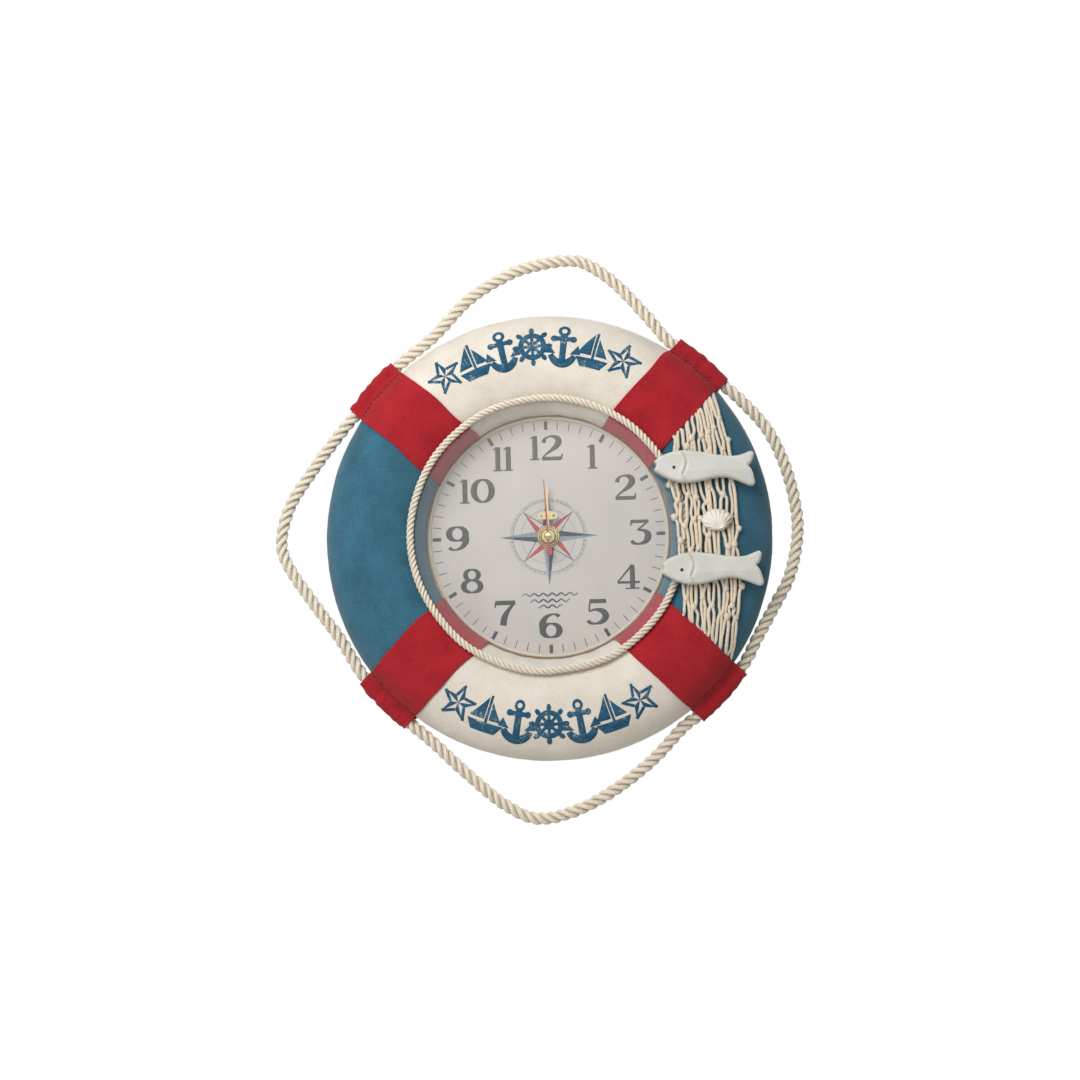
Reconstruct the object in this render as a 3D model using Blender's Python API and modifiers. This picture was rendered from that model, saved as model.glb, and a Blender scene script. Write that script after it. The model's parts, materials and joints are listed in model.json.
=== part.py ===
# Lifebuoy wall clock: a foam ring in canvas round a printed dial, with a quartz movement behind it.
# The origin is where the nail bears on the hanger, on the wall plane. X is to the right, Z is up and the
# front faces -Y. Depths are measured forward from the wall, and places on the face from the hands' axis.
import math

import bmesh
import bpy
from mathutils import Matrix, Vector

mm = 0.001
degree = math.radians(1.0)

# Clearances: between cloth or curved pieces, between flat faces stacked on each other, and round shafts
cloth_gap = 0.3 * mm
stack_gap = 0.1 * mm
shaft_gap = 0.1 * mm
cut_overrun = 2.0 * mm

# The ring's section is a superellipse with a flat back
ring_radius = 150.0 * mm
window_radius = 82.2 * mm
ring_front = 49.5 * mm
ring_half_depth = 25.3 * mm
ring_squareness = 2.1
section_points = 16
foam_gap = 0.8 * mm
foam_steps = 26

# Cloth covers between the bands
canvas_thickness = 0.8 * mm
canvas_end_gap = 1.2 * mm
canvas_seam_gap = 3.0 * mm
canvas_steps = 11

# Red bands, each with a sleeve round the rope
band_thickness = 0.8 * mm
band_width = 42.0 * mm
band_lateral_steps = 4
upper_right_angle = 47.1 * degree
upper_left_angle = 138.3 * degree
lower_left_angle = 224.3 * degree
lower_right_angle = 315.9 * degree
sleeve_bore_radius = 5.0 * mm
sleeve_reach = 5.6 * mm
sleeve_steps = 8
sleeve_opening_angle = 112.0 * degree
sleeve_lip = 4.2 * mm

# Grab rope
rope_diameter = 8.4 * mm
rope_step = 17.0 * mm
route_samples = 12
# The rope's route on the face, chosen by eye along the photographed rope: x and z as shares of the
# radius at which the rope passes the sleeves
rope_route_shares = (
    (-0.7243, -0.6896), (-0.6228, -0.7828), (-0.5251, -0.8657), (-0.3631, -1.0186),
    (-0.2095, -1.1465), (-0.0694, -1.2050), (0.0970, -1.1710), (0.2648, -1.0842),
    (0.4248, -0.9640), (0.5521, -0.8348), (0.6266, -0.7796), (0.7352, -0.6780),
    (0.8271, -0.5623), (0.8875, -0.4524), (0.9666, -0.3162), (1.0315, -0.1941),
    (1.0688, -0.0289), (1.0643, 0.1099), (1.0270, 0.2763), (0.9569, 0.4357),
    (0.8445, 0.5707), (0.7661, 0.6427), (0.6626, 0.7487), (0.5443, 0.8387),
    (0.4486, 0.9569), (0.3201, 1.1009), (0.1979, 1.1909), (0.1163, 1.2095),
    (-0.0090, 1.1960), (-0.1427, 1.1581), (-0.3194, 1.0546), (-0.4807, 0.8933),
    (-0.6228, 0.7828), (-0.7314, 0.6819), (-0.8239, 0.5662), (-0.8959, 0.4826),
    (-1.0161, 0.3278), (-1.1195, 0.1735), (-1.1626, 0.0276), (-1.1427, -0.0810),
    (-1.0469, -0.2320), (-0.9190, -0.4094), (-0.8612, -0.5051), (-0.8239, -0.5662),
    (-0.7384, -0.6742),
)

# The window: pane, rim rope, dial and the cord round the dial
lens_lap = 6.3 * mm
lens_thickness = 2.0 * mm
rim_rope_outset = 1.9 * mm
rim_rope_diameter = 5.2 * mm
rim_rope_sides = 6
rim_rope_steps = 44
dial_card_thickness = 0.4 * mm
dial_board_thickness = 2.8 * mm
dial_cord_diameter = 2.8 * mm
dial_cord_sides = 5
dial_cord_steps = 40
disc_steps = 40
resting_samples = 40

# Fishing net, draped over the rim rope and the ring's front
net_cord_diameter = 1.8 * mm
net_mesh_width = 8.0 * mm
net_mesh_height = 21.6 * mm
net_gap_steps = 3
net_gap_share = 0.6
net_knot_share = 0.5
net_clearance = 1.0 * mm
# The net's left and right edges: x and z as shares of the ring's radius, from the bottom up
net_left_shares = ((0.584, -0.415), (0.582, -0.250), (0.570, -0.122), (0.572, -0.039), (0.560, 0.034),
                   (0.560, 0.108), (0.539, 0.209), (0.567, 0.355))
net_right_shares = ((0.786, -0.585), (0.809, -0.522), (0.826, -0.404), (0.843, -0.266), (0.843, -0.124),
                    (0.838, 0.008), (0.839, 0.136), (0.818, 0.319), (0.810, 0.375), (0.786, 0.467),
                    (0.762, 0.568), (0.750, 0.620))

# Painted wooden fish
fish_length = 65.7 * mm
fish_thickness = 8.0 * mm
fish_edge = 1.4 * mm
fish_upper_tilt = -3.5 * degree
fish_upper_across = 104.7 * mm
fish_upper_rise = 39.4 * mm
fish_lower_tilt = -1.5 * degree
fish_lower_across = 107.7 * mm
fish_lower_rise = -26.8 * mm
# The fish's outline from the mouth round over the back: x and z as shares of its length
fish_shares = (
    (-0.504, 0.042), (-0.445, 0.091), (-0.380, 0.121), (-0.321, 0.142), (-0.254, 0.154),
    (-0.187, 0.158), (-0.105, 0.155), (-0.021, 0.146), (0.063, 0.133), (0.146, 0.123),
    (0.229, 0.117), (0.305, 0.121), (0.363, 0.138), (0.422, 0.163), (0.454, 0.170),
    (0.480, 0.146), (0.471, 0.096), (0.454, 0.054), (0.429, 0.030), (0.463, -0.021),
    (0.487, -0.088), (0.501, -0.138), (0.487, -0.163), (0.454, -0.170), (0.404, -0.154),
    (0.345, -0.129), (0.287, -0.109), (0.221, -0.094), (0.146, -0.096), (0.079, -0.109),
    (0.012, -0.126), (-0.054, -0.142), (-0.121, -0.154), (-0.187, -0.160), (-0.254, -0.158),
    (-0.321, -0.142), (-0.380, -0.117), (-0.438, -0.088), (-0.480, -0.063), (-0.501, -0.042),
    (-0.483, 0.004),
)

# Scallop shell
shell_width = 20.4 * mm
shell_height = 14.9 * mm
shell_depth = 6.0 * mm
shell_across = 111.6 * mm
shell_rise = 4.9 * mm
shell_rib_count = 11
shell_rib_share = 0.035

# Quartz movement: case, cover and plate
contact_room = 1.8 * mm
board_room = 1.3 * mm
case_wall = 1.2 * mm
case_front = 16.8 * mm
cover_back = 0.6 * mm
cover_thickness = 1.2 * mm
plate_back = 8.0 * mm
plate_thickness = 1.0 * mm
plate_top = 16.5 * mm
bay_wall = 1.0 * mm
bay_wall_rise = -11.0 * mm
bush_radius = 3.9 * mm
bush_end = 25.4 * mm
boss_radius = 1.5 * mm
boss_height = 0.8 * mm
post_radius = 1.4 * mm
post_inset = 2.8 * mm
lower_post_lift = 3.5 * mm
upper_post_rise = 13.0 * mm
pin_sides = 12

# Gear train. Each wheel's number of teeth, the modules, and the levels of their back faces
fine_module = 0.34 * mm
third_module = 0.36 * mm
second_module = 0.45 * mm
motion_module = 0.4 * mm
leaves = 6
third_teeth = 48
centre_teeth = 45
second_teeth = 30
fifth_teeth = 36
cannon_teeth = 10
intermediate_teeth = 30
intermediate_leaves = 8
hour_teeth = 32
setting_teeth = 12
mesh_ease = 0.04 * mm
wheel_thickness = 0.8 * mm
motion_thickness = 1.0 * mm
pinion_tip_share = 0.10
pinion_root_share = 0.20
wheel_root_share = 0.30
addendum_share = 0.85
dedendum_share = 1.25
rotor_level = 2.8 * mm
fifth_level = 4.9 * mm
second_level = 6.7 * mm
third_level = 9.8 * mm
centre_level = 11.4 * mm
cannon_level = 12.9 * mm
hour_level = 14.3 * mm
arbor_radius = 0.5 * mm
pivot_depth = 0.4 * mm
cannon_radius = 1.5 * mm
hour_tube_radius = 2.4 * mm
hour_tube_wall = 0.8 * mm
cannon_tail = 0.2 * mm
intermediate_angle = 200.0 * degree
intermediate_post_radius = 0.7 * mm
fifth_angle = 0.0 * degree
third_angle = 90.0 * degree
rotor_angle = 34.7 * degree
arbor_sides = 12

# Motor: magnet, stator, coil and board
magnet_radius = 2.9 * mm
magnet_length = 1.6 * mm
stator_air_gap = 0.7 * mm
stator_thickness = 1.6 * mm
coil_drop = 2.5 * mm
coil_radius = 3.2 * mm
coil_bore_radius = 2.0 * mm
coil_depth = 5.9 * mm
coil_start = -8.2 * mm
coil_end = 15.1 * mm
core_height = 2.6 * mm
core_width = 2.6 * mm
stator_left = -13.0 * mm
stator_leg_width = 4.4 * mm
stator_right = 20.0 * mm
stator_top = 24.0 * mm
stator_bottom = -1.0 * mm
stator_bar_rise = 10.5 * mm
stator_bar_height = 4.0 * mm
stator_slot_width = 3.5 * mm
board_inset = 0.5 * mm
board_gap = 1.0 * mm
board_bottom = 1.5 * mm
board_overlap = 1.5 * mm
board_back = 3.5 * mm
board_thickness = 0.8 * mm
chip_radius = 2.2 * mm
chip_height = 0.9 * mm
chip_inset = 5.0 * mm
chip_rise = 6.5 * mm
crystal_radius = 1.0 * mm
crystal_length = 6.0 * mm
crystal_inset = 3.8 * mm
crystal_rise = 14.0 * mm

# Setting knob, seen from behind
knob_radius = 4.7 * mm
knob_thickness = 1.4 * mm
knob_back = 0.9 * mm
knob_shaft_radius = 1.2 * mm

# AA cell and its contacts
cell_radius = 7.1 * mm
cell_length = 50.0 * mm
cell_nub_radius = 2.75 * mm
cell_nub_length = 1.0 * mm
cell_depth = 8.2 * mm
contact_thickness = 0.5 * mm
contact_height = 11.0 * mm
contact_width = 10.0 * mm
contact_back = 3.2 * mm
contact_tip_radius = 2.0 * mm
contact_root_radius = 4.0 * mm
strip_back = 4.5 * mm
strip_width = 2.0 * mm
strip_lift = 0.8 * mm
strip_inset = 4.8 * mm
strip_end_rise = 4.0 * mm
notch_clearance = 0.4 * mm

# What clamps the dial: washer, hanger, nut
rubber_thickness = 1.0 * mm
rubber_radius = 7.0 * mm
hanger_thickness = 0.8 * mm
hanger_width = 20.0 * mm
hanger_foot = -9.0 * mm
hanger_room = 1.0 * mm
hanger_slope = 2.5 * mm
nail_room = 14.5 * mm
hanger_above_nail = 7.0 * mm
slot_width = 5.4 * mm
keyhole_radius = 4.4 * mm
keyhole_drop = 7.0 * mm
washer_radius = 7.8 * mm
washer_thickness = 0.5 * mm
nut_across_flats = 10.0 * mm
nut_thickness = 2.0 * mm

# Hands
hand_thickness = 0.4 * mm
hour_hand_back = 25.9 * mm
minute_hand_back = 27.6 * mm
second_hand_back = 29.3 * mm
hour_hand_length = 24.0 * mm
hour_hub_radius = 4.4 * mm
hour_stem_width = 2.0 * mm
lobe_across = 4.2 * mm
lobe_rise = 13.7 * mm
lobe_radius = 2.4 * mm
lobe_hole_radius = 1.1 * mm
lobe_steps = 8
minute_hand_length = 35.0 * mm
minute_hub_radius = 3.4 * mm
minute_stem_width = 1.5 * mm
second_hand_length = 38.0 * mm
second_hand_tail = 13.0 * mm
second_hub_radius = 2.2 * mm
second_root_width = 1.2 * mm
second_tip_width = 0.5 * mm
counterweight_width = 4.3 * mm
counterweight_length = 6.0 * mm
counterweight_rise = -10.5 * mm
second_hand_angle = 3.0 * degree
cap_radius = 2.6 * mm
cap_height = 2.2 * mm
cap_steps = 6

# Colours (red, green, blue), then roughness and metallic value
white_cloth = ((0.72, 0.66, 0.58), 0.9, 0.0)
blue_cloth = ((0.05, 0.17, 0.25), 0.9, 0.0)
red_cloth = ((0.40, 0.03, 0.04), 0.85, 0.0)
cotton = ((0.68, 0.62, 0.50), 0.95, 0.0)
net_cotton = ((0.66, 0.56, 0.44), 0.95, 0.0)
foam = ((0.85, 0.85, 0.82), 1.0, 0.0)
painted_wood = ((0.72, 0.72, 0.68), 0.45, 0.0)
shell_lime = ((0.74, 0.69, 0.60), 0.5, 0.0)
clear_pane = ((0.80, 0.84, 0.84), 0.05, 0.0)
printed_card = ((0.67, 0.64, 0.62), 0.7, 0.0)
grey_board = ((0.45, 0.38, 0.30), 0.9, 0.0)
zinc_steel = ((0.55, 0.56, 0.58), 0.35, 1.0)
rubber = ((0.03, 0.03, 0.03), 0.8, 0.0)
brass = ((0.75, 0.56, 0.24), 0.3, 1.0)
red_paint = ((0.46, 0.06, 0.05), 0.4, 0.0)
black_plastic = ((0.02, 0.02, 0.022), 0.45, 0.0)
white_acetal = ((0.75, 0.75, 0.72), 0.4, 0.0)
green_board = ((0.03, 0.18, 0.07), 0.5, 0.0)
copper = ((0.60, 0.24, 0.10), 0.35, 1.0)
dark_magnet = ((0.06, 0.06, 0.07), 0.4, 1.0)
cell_sleeve = ((0.04, 0.10, 0.16), 0.35, 0.2)

# Places worked out from the sizes above
section_centre_radius = (ring_radius + window_radius) / 2
section_half_width = (ring_radius - window_radius) / 2
section_centre_depth = ring_front - ring_half_depth
canvas_back = cloth_gap + band_thickness
foam_offset = -(canvas_thickness + foam_gap)
band_face_offset = cloth_gap + band_thickness
lens_radius = window_radius + lens_lap
rim_rope_radius = lens_radius + rim_rope_outset
dial_radius = window_radius - band_face_offset - cloth_gap
section_angles = [math.tau * (k / section_points - 1 / 4) for k in range(section_points)]
# The case is as wide as the cell and its contacts, and as high as the cell's bay and the coil
case_inner = cell_length / 2 + contact_room
case_half = case_inner + case_wall
cell_rise = bay_wall_rise - bay_wall - cell_radius - cloth_gap
inner_bottom = cell_rise - cell_radius - cloth_gap
board_top = stator_top + board_overlap
inner_top = board_top + board_room
case_bottom = inner_bottom - case_wall
case_top = inner_top + case_wall
post_across = case_inner - post_inset
lower_post_rise = bay_wall_rise + lower_post_lift
coil_rise = stator_top - coil_drop
board_left = board_inset - case_inner
board_right = stator_left - board_gap
chip_across = board_right - chip_inset
crystal_across = board_left + crystal_inset
strip_rise = bay_wall_rise + strip_lift
strip_end_across = board_left + strip_inset
hanger_bend = case_top + hanger_room
# The nail's bearing point above the hands' axis
nail_rise = hanger_bend + hanger_slope + nail_room
hanger_top = nail_rise + hanger_above_nail
cover_inner = cover_back + cover_thickness
case_back = cover_inner + stack_gap
wall_inner = case_front - case_wall
pivot_radius = arbor_radius + shaft_gap
bush_bore_radius = hour_tube_radius + shaft_gap
bush_hole_radius = bush_radius + shaft_gap
hour_bore_radius = hour_tube_radius - hour_tube_wall
rubber_back = case_front + stack_gap
hanger_back = rubber_back + rubber_thickness + stack_gap
board_level = hanger_back + hanger_thickness + stack_gap
card_level = board_level + dial_board_thickness + stack_gap
card_front = card_level + dial_card_thickness
washer_level = card_front + stack_gap
nut_level = washer_level + washer_thickness + stack_gap
sleeve_radius = sleeve_bore_radius + band_thickness / 2
rope_centre_radius = ring_radius + sleeve_reach
third_distance = (third_teeth + leaves) * fine_module / 2 + mesh_ease
fifth_distance = (second_teeth + leaves) * second_module / 2 + mesh_ease
rotor_distance = (fifth_teeth + leaves) * third_module / 2 + mesh_ease
intermediate_distance = (cannon_teeth + intermediate_teeth) * motion_module / 2 + mesh_ease
setting_distance = (intermediate_teeth + setting_teeth) * motion_module / 2 + mesh_ease


def polar(distance, angle, start=(0.0, 0.0)):
    return (start[0] + distance * math.cos(angle), start[1] + distance * math.sin(angle))


third_place = polar(third_distance, third_angle)
fifth_place = polar(fifth_distance, fifth_angle)
rotor_place = polar(rotor_distance, rotor_angle, fifth_place)
intermediate_place = polar(intermediate_distance, intermediate_angle)
setting_place = polar(setting_distance, intermediate_angle, intermediate_place)

for stale in list(bpy.data.objects):
    bpy.data.objects.remove(stale)

parts = bpy.data.collections.new("lifebuoy_wall_clock")
cutters = bpy.data.collections.new("cutters")
bpy.context.scene.collection.children.link(parts)
bpy.context.scene.collection.children.link(cutters)
hands_axis = bpy.data.objects.new("hands_axis", None)
hands_axis.location = (0.0, 0.0, -nail_rise)
parts.objects.link(hands_axis)


def add_object(name, data, look, place=(0.0, 0.0)):
    # A part at its place on the face, with a material of its own
    made = bpy.data.objects.new(name, data)
    material = bpy.data.materials.new(name)
    material.use_nodes = True
    shader = material.node_tree.nodes["Principled BSDF"]
    colour, roughness, metallic = look
    shader.inputs["Base Color"].default_value = (*colour, 1.0)
    shader.inputs["Roughness"].default_value = roughness
    shader.inputs["Metallic"].default_value = metallic
    data.materials.append(material)
    made.parent = hands_axis
    made.location = (place[0], 0.0, place[1])
    parts.objects.link(made)
    return made


def add_helper(name, mesh, place=(0.0, 0.0)):
    # A shape that a Boolean uses and no render shows
    made = bpy.data.objects.new(name, mesh)
    made.parent = hands_axis
    made.location = (place[0], 0.0, place[1])
    made.hide_render = True
    made.display_type = "WIRE"
    cutters.objects.link(made)
    return made


def combine(target, mesh, operation, place=(0.0, 0.0)):
    other = add_helper(f"{target.name}_{operation.lower()}", mesh, place)
    step = target.modifiers.new(operation.lower(), "BOOLEAN")
    step.operation = operation
    step.solver = "EXACT"
    step.object = other


def cut(target, mesh, place=(0.0, 0.0)):
    combine(target, mesh, "DIFFERENCE", place)


def join(target, mesh, place=(0.0, 0.0)):
    combine(target, mesh, "UNION", place)


def mesh_from(shape, smooth=True):
    # The finished mesh of a bmesh
    bmesh.ops.recalc_face_normals(shape, faces=shape.faces)
    if shape.calc_volume(signed=True) < 0:
        bmesh.ops.reverse_faces(shape, faces=shape.faces)
    mesh = bpy.data.meshes.new("shape")
    shape.to_mesh(mesh)
    shape.free()
    if smooth:
        mesh.shade_smooth()
        mesh.set_sharp_from_angle(angle=40.0 * degree)
    return mesh


def boxes(*sizes):
    # Boxes given as left, right, back, front, bottom and top
    shape = bmesh.new()
    for left, right, back, front, bottom, top in sizes:
        middle = ((left + right) / 2, -(back + front) / 2, (bottom + top) / 2)
        scale = Matrix.Diagonal((right - left, front - back, top - bottom, 1.0))
        bmesh.ops.create_cube(shape, size=1.0, matrix=Matrix.Translation(middle) @ scale)
    return mesh_from(shape, smooth=False)


def pins(*sizes, sides=pin_sides):
    # Cylinders facing the front, given as place, radius, back and front
    shape = bmesh.new()
    for place, radius, back, front in sizes:
        middle = Matrix.Translation((place[0], -(back + front) / 2, place[1]))
        bmesh.ops.create_cone(
            shape, cap_ends=True, segments=sides, radius1=radius, radius2=radius, depth=front - back,
            matrix=middle @ Matrix.Rotation(math.tau / 4, 4, "X"),
        )
    return mesh_from(shape)


def turned(name, profile, look, steps, place=(0.0, 0.0), ring=False):
    # A profile of radius and depth turned about the place's axis
    rows = list(profile)
    pairs = zip(rows, rows[1:] + rows[:1])
    if sum(a[0] * b[1] - b[0] * a[1] for a, b in pairs) < 0:
        rows.reverse()
    mesh = bpy.data.meshes.new(name)
    edges = [(k, k + 1) for k in range(len(rows) - 1)]
    if ring:
        edges.append((len(rows) - 1, 0))
    mesh.from_pydata([(radius, -depth, 0.0) for radius, depth in rows], edges, [])
    made = add_object(name, mesh, look, place)
    screw = made.modifiers.new("turn", "SCREW")
    screw.axis = "Y"
    screw.steps = steps
    screw.render_steps = steps
    screw.use_merge_vertices = True
    screw.merge_threshold = 0.01 * mm
    return made


def ring_profile(inner, outer, back, front):
    return [(outer, back), (outer, front), (inner, front), (inner, back)]


def outline_mesh(outlines, back, front, edge=0.0):
    # Flat outlines on the face, holes included, filled and extruded between two depths
    curve = bpy.data.curves.new("outline", "CURVE")
    curve.dimensions = "2D"
    curve.fill_mode = "BOTH"
    curve.extrude = (front - back) / 2 - edge
    curve.bevel_depth = edge
    curve.bevel_resolution = 0
    curve.offset = -edge
    for outline in outlines:
        spline = curve.splines.new("POLY")
        spline.points.add(len(outline) - 1)
        for point, (across, rise) in zip(spline.points, outline):
            point.co = (across, rise, 0.0, 1.0)
        spline.use_cyclic_u = True
    guide = bpy.data.objects.new("outline", curve)
    cutters.objects.link(guide)
    bpy.context.view_layer.update()
    graph = bpy.context.evaluated_depsgraph_get()
    mesh = bpy.data.meshes.new_from_object(guide.evaluated_get(graph))
    bpy.data.objects.remove(guide)
    shape = bmesh.new()
    shape.from_mesh(mesh)
    bpy.data.meshes.remove(mesh)
    bmesh.ops.remove_doubles(shape, verts=shape.verts, dist=0.001 * mm)
    facing = Matrix.Translation((0.0, -(back + front) / 2, 0.0)) @ Matrix.Rotation(math.tau / 4, 4, "X")
    bmesh.ops.transform(shape, matrix=facing, verts=shape.verts)
    return mesh_from(shape)


def circle(radius, count, middle=(0.0, 0.0)):
    return [polar(radius, math.tau * k / count, middle) for k in range(count)]


def gear_outline(teeth, module, phase, root_share, tip_share=0.0):
    # Straight-sided teeth, slim enough to run without touching: a wheel's are pointed, a pinion's flat
    pitch_radius = teeth * module / 2
    tip = pitch_radius + addendum_share * module
    root = pitch_radius - dedendum_share * module
    pitch = math.tau / teeth
    points = []
    for k in range(teeth):
        middle = phase + k * pitch
        points.append(polar(root, middle - root_share * pitch))
        if tip_share:
            points.append(polar(tip, middle - tip_share * pitch))
        points.append(polar(tip, middle + tip_share * pitch))
        points.append(polar(root, middle + root_share * pitch))
    return points


def meshed_phase(teeth, driver_teeth, driver_phase, direction):
    # The phase that puts a gap of this wheel opposite the driver's tooth, along the line of centres
    turned_past = (driver_phase - direction) * driver_teeth / teeth
    return direction + math.pi + math.pi / teeth - turned_past


def wheel_mesh(teeth, module, phase, back, front, hole=0.0):
    outlines = [gear_outline(teeth, module, phase, wheel_root_share)]
    if hole:
        outlines.append(circle(hole, arbor_sides))
    return outline_mesh(outlines, back, front)


def pinion_mesh(teeth, module, phase, back, front):
    outline = gear_outline(teeth, module, phase, pinion_root_share, pinion_tip_share)
    return outline_mesh([outline], back, front)


def section_point(angle, offset):
    # The ring's section at an angle from its outer side towards its front, grown by an offset
    cosine = math.cos(angle)
    sine = math.sin(angle)
    power = 2 / ring_squareness
    across = math.copysign(abs(cosine) ** power, cosine) * (section_half_width + offset)
    forward = math.copysign(abs(sine) ** power, sine) * (ring_half_depth + offset)
    depth = max(section_centre_depth + forward, canvas_back - offset)
    return (section_centre_radius + across, depth)


def front_depth(radius, offset):
    # How far forward the ring's surface lies at a radius
    share = min(abs(radius - section_centre_radius) / (section_half_width + offset), 1.0)
    rise = (1 - share**ring_squareness) ** (1 / ring_squareness)
    return section_centre_depth + (ring_half_depth + offset) * rise


def sheet(name, columns, rows, place, look, thickness):
    # A grid whose points a function places, thickened to a closed cloth
    shape = bmesh.new()
    bmesh.ops.create_grid(shape, x_segments=columns, y_segments=rows, size=0.5)
    for vertex in shape.verts:
        vertex.co = place(vertex.co.x + 0.5, vertex.co.y + 0.5)
    made = add_object(name, mesh_from(shape), look)
    cloth = made.modifiers.new("cloth", "SOLIDIFY")
    cloth.thickness = thickness
    cloth.offset = 0.0
    return made


def make_foam_ring():
    profile = [section_point(angle, foam_offset) for angle in section_angles]
    turned("foam_ring", profile, foam, foam_steps, ring=True)


def make_canvas(name, start, end, look):
    # The canvas goes once round the section, from one side of a seam at the back to the other
    end_angle = canvas_end_gap / section_centre_radius / 2
    seam_angle = canvas_seam_gap / section_half_width / 2
    first = start + end_angle
    span = end - start - 2 * end_angle

    def place(along, around):
        step = round(around * section_points)
        angle = section_angles[0] + math.tau * step / section_points
        if step == 0:
            angle += seam_angle
        if step == section_points:
            angle -= seam_angle
        radius, depth = section_point(angle, -canvas_thickness / 2)
        x, z = polar(radius, first + along * span)
        return (x, -depth, z)

    sheet(name, canvas_steps, section_points, place, look, canvas_thickness)


def band_path():
    # From behind the outer side, round the back, the window's wall and the front, then round the rope
    offset = cloth_gap + band_thickness / 2
    quarter = section_points // 4
    steps = range(quarter - 1, quarter + 1 - section_points - 1, -1)
    path = [section_point(section_angles[step % section_points], offset) for step in steps]
    for k in range(sleeve_steps + 1):
        angle = sleeve_opening_angle * (1 - 2 * k / sleeve_steps)
        radius = rope_centre_radius + sleeve_radius * math.cos(angle)
        path.append((radius, section_centre_depth + sleeve_radius * math.sin(angle)))
    last_radius, last_depth = path[-1]
    path.append((last_radius - sleeve_lip / 2, last_depth - sleeve_lip / 2))
    return path


def make_band(name, angle):
    path = band_path()
    turn = Matrix.Rotation(-angle, 3, "Y")

    def place(along, around):
        radius, depth = path[round(along * (len(path) - 1))]
        lateral = (around - 0.5) * band_width
        reach = math.sqrt(radius**2 - lateral**2)
        return turn @ Vector((reach, -depth, lateral))

    sheet(name, len(path) - 1, band_lateral_steps, place, red_cloth, band_thickness)


def smooth_route(points, step):
    # Points at even steps along a Catmull-Rom curve through the route's own points
    dense = []
    for k in range(len(points) - 1):
        before = points[max(k - 1, 0)]
        start = points[k]
        end = points[k + 1]
        after = points[min(k + 2, len(points) - 1)]
        for n in range(route_samples):
            t = n / route_samples
            dense.append(tuple(
                b + (c - a) * t / 2 + (2 * a - 5 * b + 4 * c - d) * t**2 / 2
                + (3 * b - a - 3 * c + d) * t**3 / 2
                for a, b, c, d in zip(before, start, end, after)
            ))
    dense.append(points[-1])
    lengths = [0.0]
    for a, b in zip(dense, dense[1:]):
        lengths.append(lengths[-1] + math.dist(a, b))
    pieces = round(lengths[-1] / step)
    route = []
    k = 0
    for n in range(pieces + 1):
        target = lengths[-1] * n / pieces
        while k < len(lengths) - 2 and lengths[k + 1] < target:
            k += 1
        share = (target - lengths[k]) / (lengths[k + 1] - lengths[k])
        route.append(tuple(a + (b - a) * share for a, b in zip(dense[k], dense[k + 1])))
    return route


def make_grab_rope():
    places = [(x * rope_centre_radius, z * rope_centre_radius) for x, z in rope_route_shares]
    route = smooth_route(places, rope_step)
    curve = bpy.data.curves.new("grab_rope", "CURVE")
    curve.dimensions = "3D"
    curve.bevel_depth = rope_diameter / 2
    curve.bevel_resolution = 2
    curve.use_fill_caps = True
    spline = curve.splines.new("POLY")
    spline.points.add(len(route) - 1)
    for point, (x, z) in zip(spline.points, route):
        point.co = (x, -section_centre_depth, z, 1.0)
    add_object("grab_rope", curve, cotton)


lens_back = front_depth(lens_radius, band_face_offset) + cloth_gap
lens_front = lens_back + lens_thickness


def resting_depth(radius, thickness):
    # The depth of a round cord's centre where it rests on the bands and over the pane's edge
    reach = thickness / 2 + cloth_gap
    side = abs(radius - lens_radius)
    depth = lens_front + math.sqrt(max(reach**2 - side**2, 0.0))
    for k in range(-resting_samples, resting_samples + 1):
        shift = reach * k / resting_samples
        surface = front_depth(radius + shift, band_face_offset)
        depth = max(depth, surface + math.sqrt(reach**2 - shift**2))
    return depth


rim_rope_depth = resting_depth(rim_rope_radius, rim_rope_diameter)
net_lift = net_clearance + net_cord_diameter / 2
net_rim_depth = rim_rope_depth + rim_rope_diameter / 2 + net_lift
net_top_depth = max(ring_front + net_lift, net_rim_depth)
trim_back = net_top_depth + net_cord_diameter / 2 + cloth_gap


def cord_ring(name, radius, depth, diameter, sides, steps, look):
    profile = [
        (radius + diameter / 2 * math.cos(angle), depth + diameter / 2 * math.sin(angle))
        for angle in [math.tau * k / sides for k in range(sides)]
    ]
    turned(name, profile, look, steps, ring=True)


def make_window():
    pane = [(0.0, lens_back), (lens_radius, lens_back), (lens_radius, lens_front), (0.0, lens_front)]
    turned("glass_lens", pane, clear_pane, disc_steps)
    cord_ring("rim_rope", rim_rope_radius, rim_rope_depth, rim_rope_diameter, rim_rope_sides,
              rim_rope_steps, cotton)
    card = ring_profile(bush_hole_radius, dial_radius, card_level, card_front)
    turned("dial_card", card, printed_card, disc_steps, ring=True)
    board = ring_profile(bush_hole_radius, dial_radius, board_level, board_level + dial_board_thickness)
    turned("dial_board", board, grey_board, disc_steps, ring=True)
    cord_radius = dial_radius - dial_cord_diameter / 2
    cord_depth = card_front + stack_gap + dial_cord_diameter / 2
    cord_ring("dial_cord", cord_radius, cord_depth, dial_cord_diameter, dial_cord_sides,
              dial_cord_steps, cotton)

# The net keeps the size of its meshes, and has as many as fit
net_width = (max(net_right_shares)[0] - min(net_left_shares)[0]) * ring_radius
net_height = (net_right_shares[-1][1] - net_right_shares[0][1]) * ring_radius
net_meshes_across = round(net_width / net_mesh_width)
net_rows = round(net_height / net_mesh_height)


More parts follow.
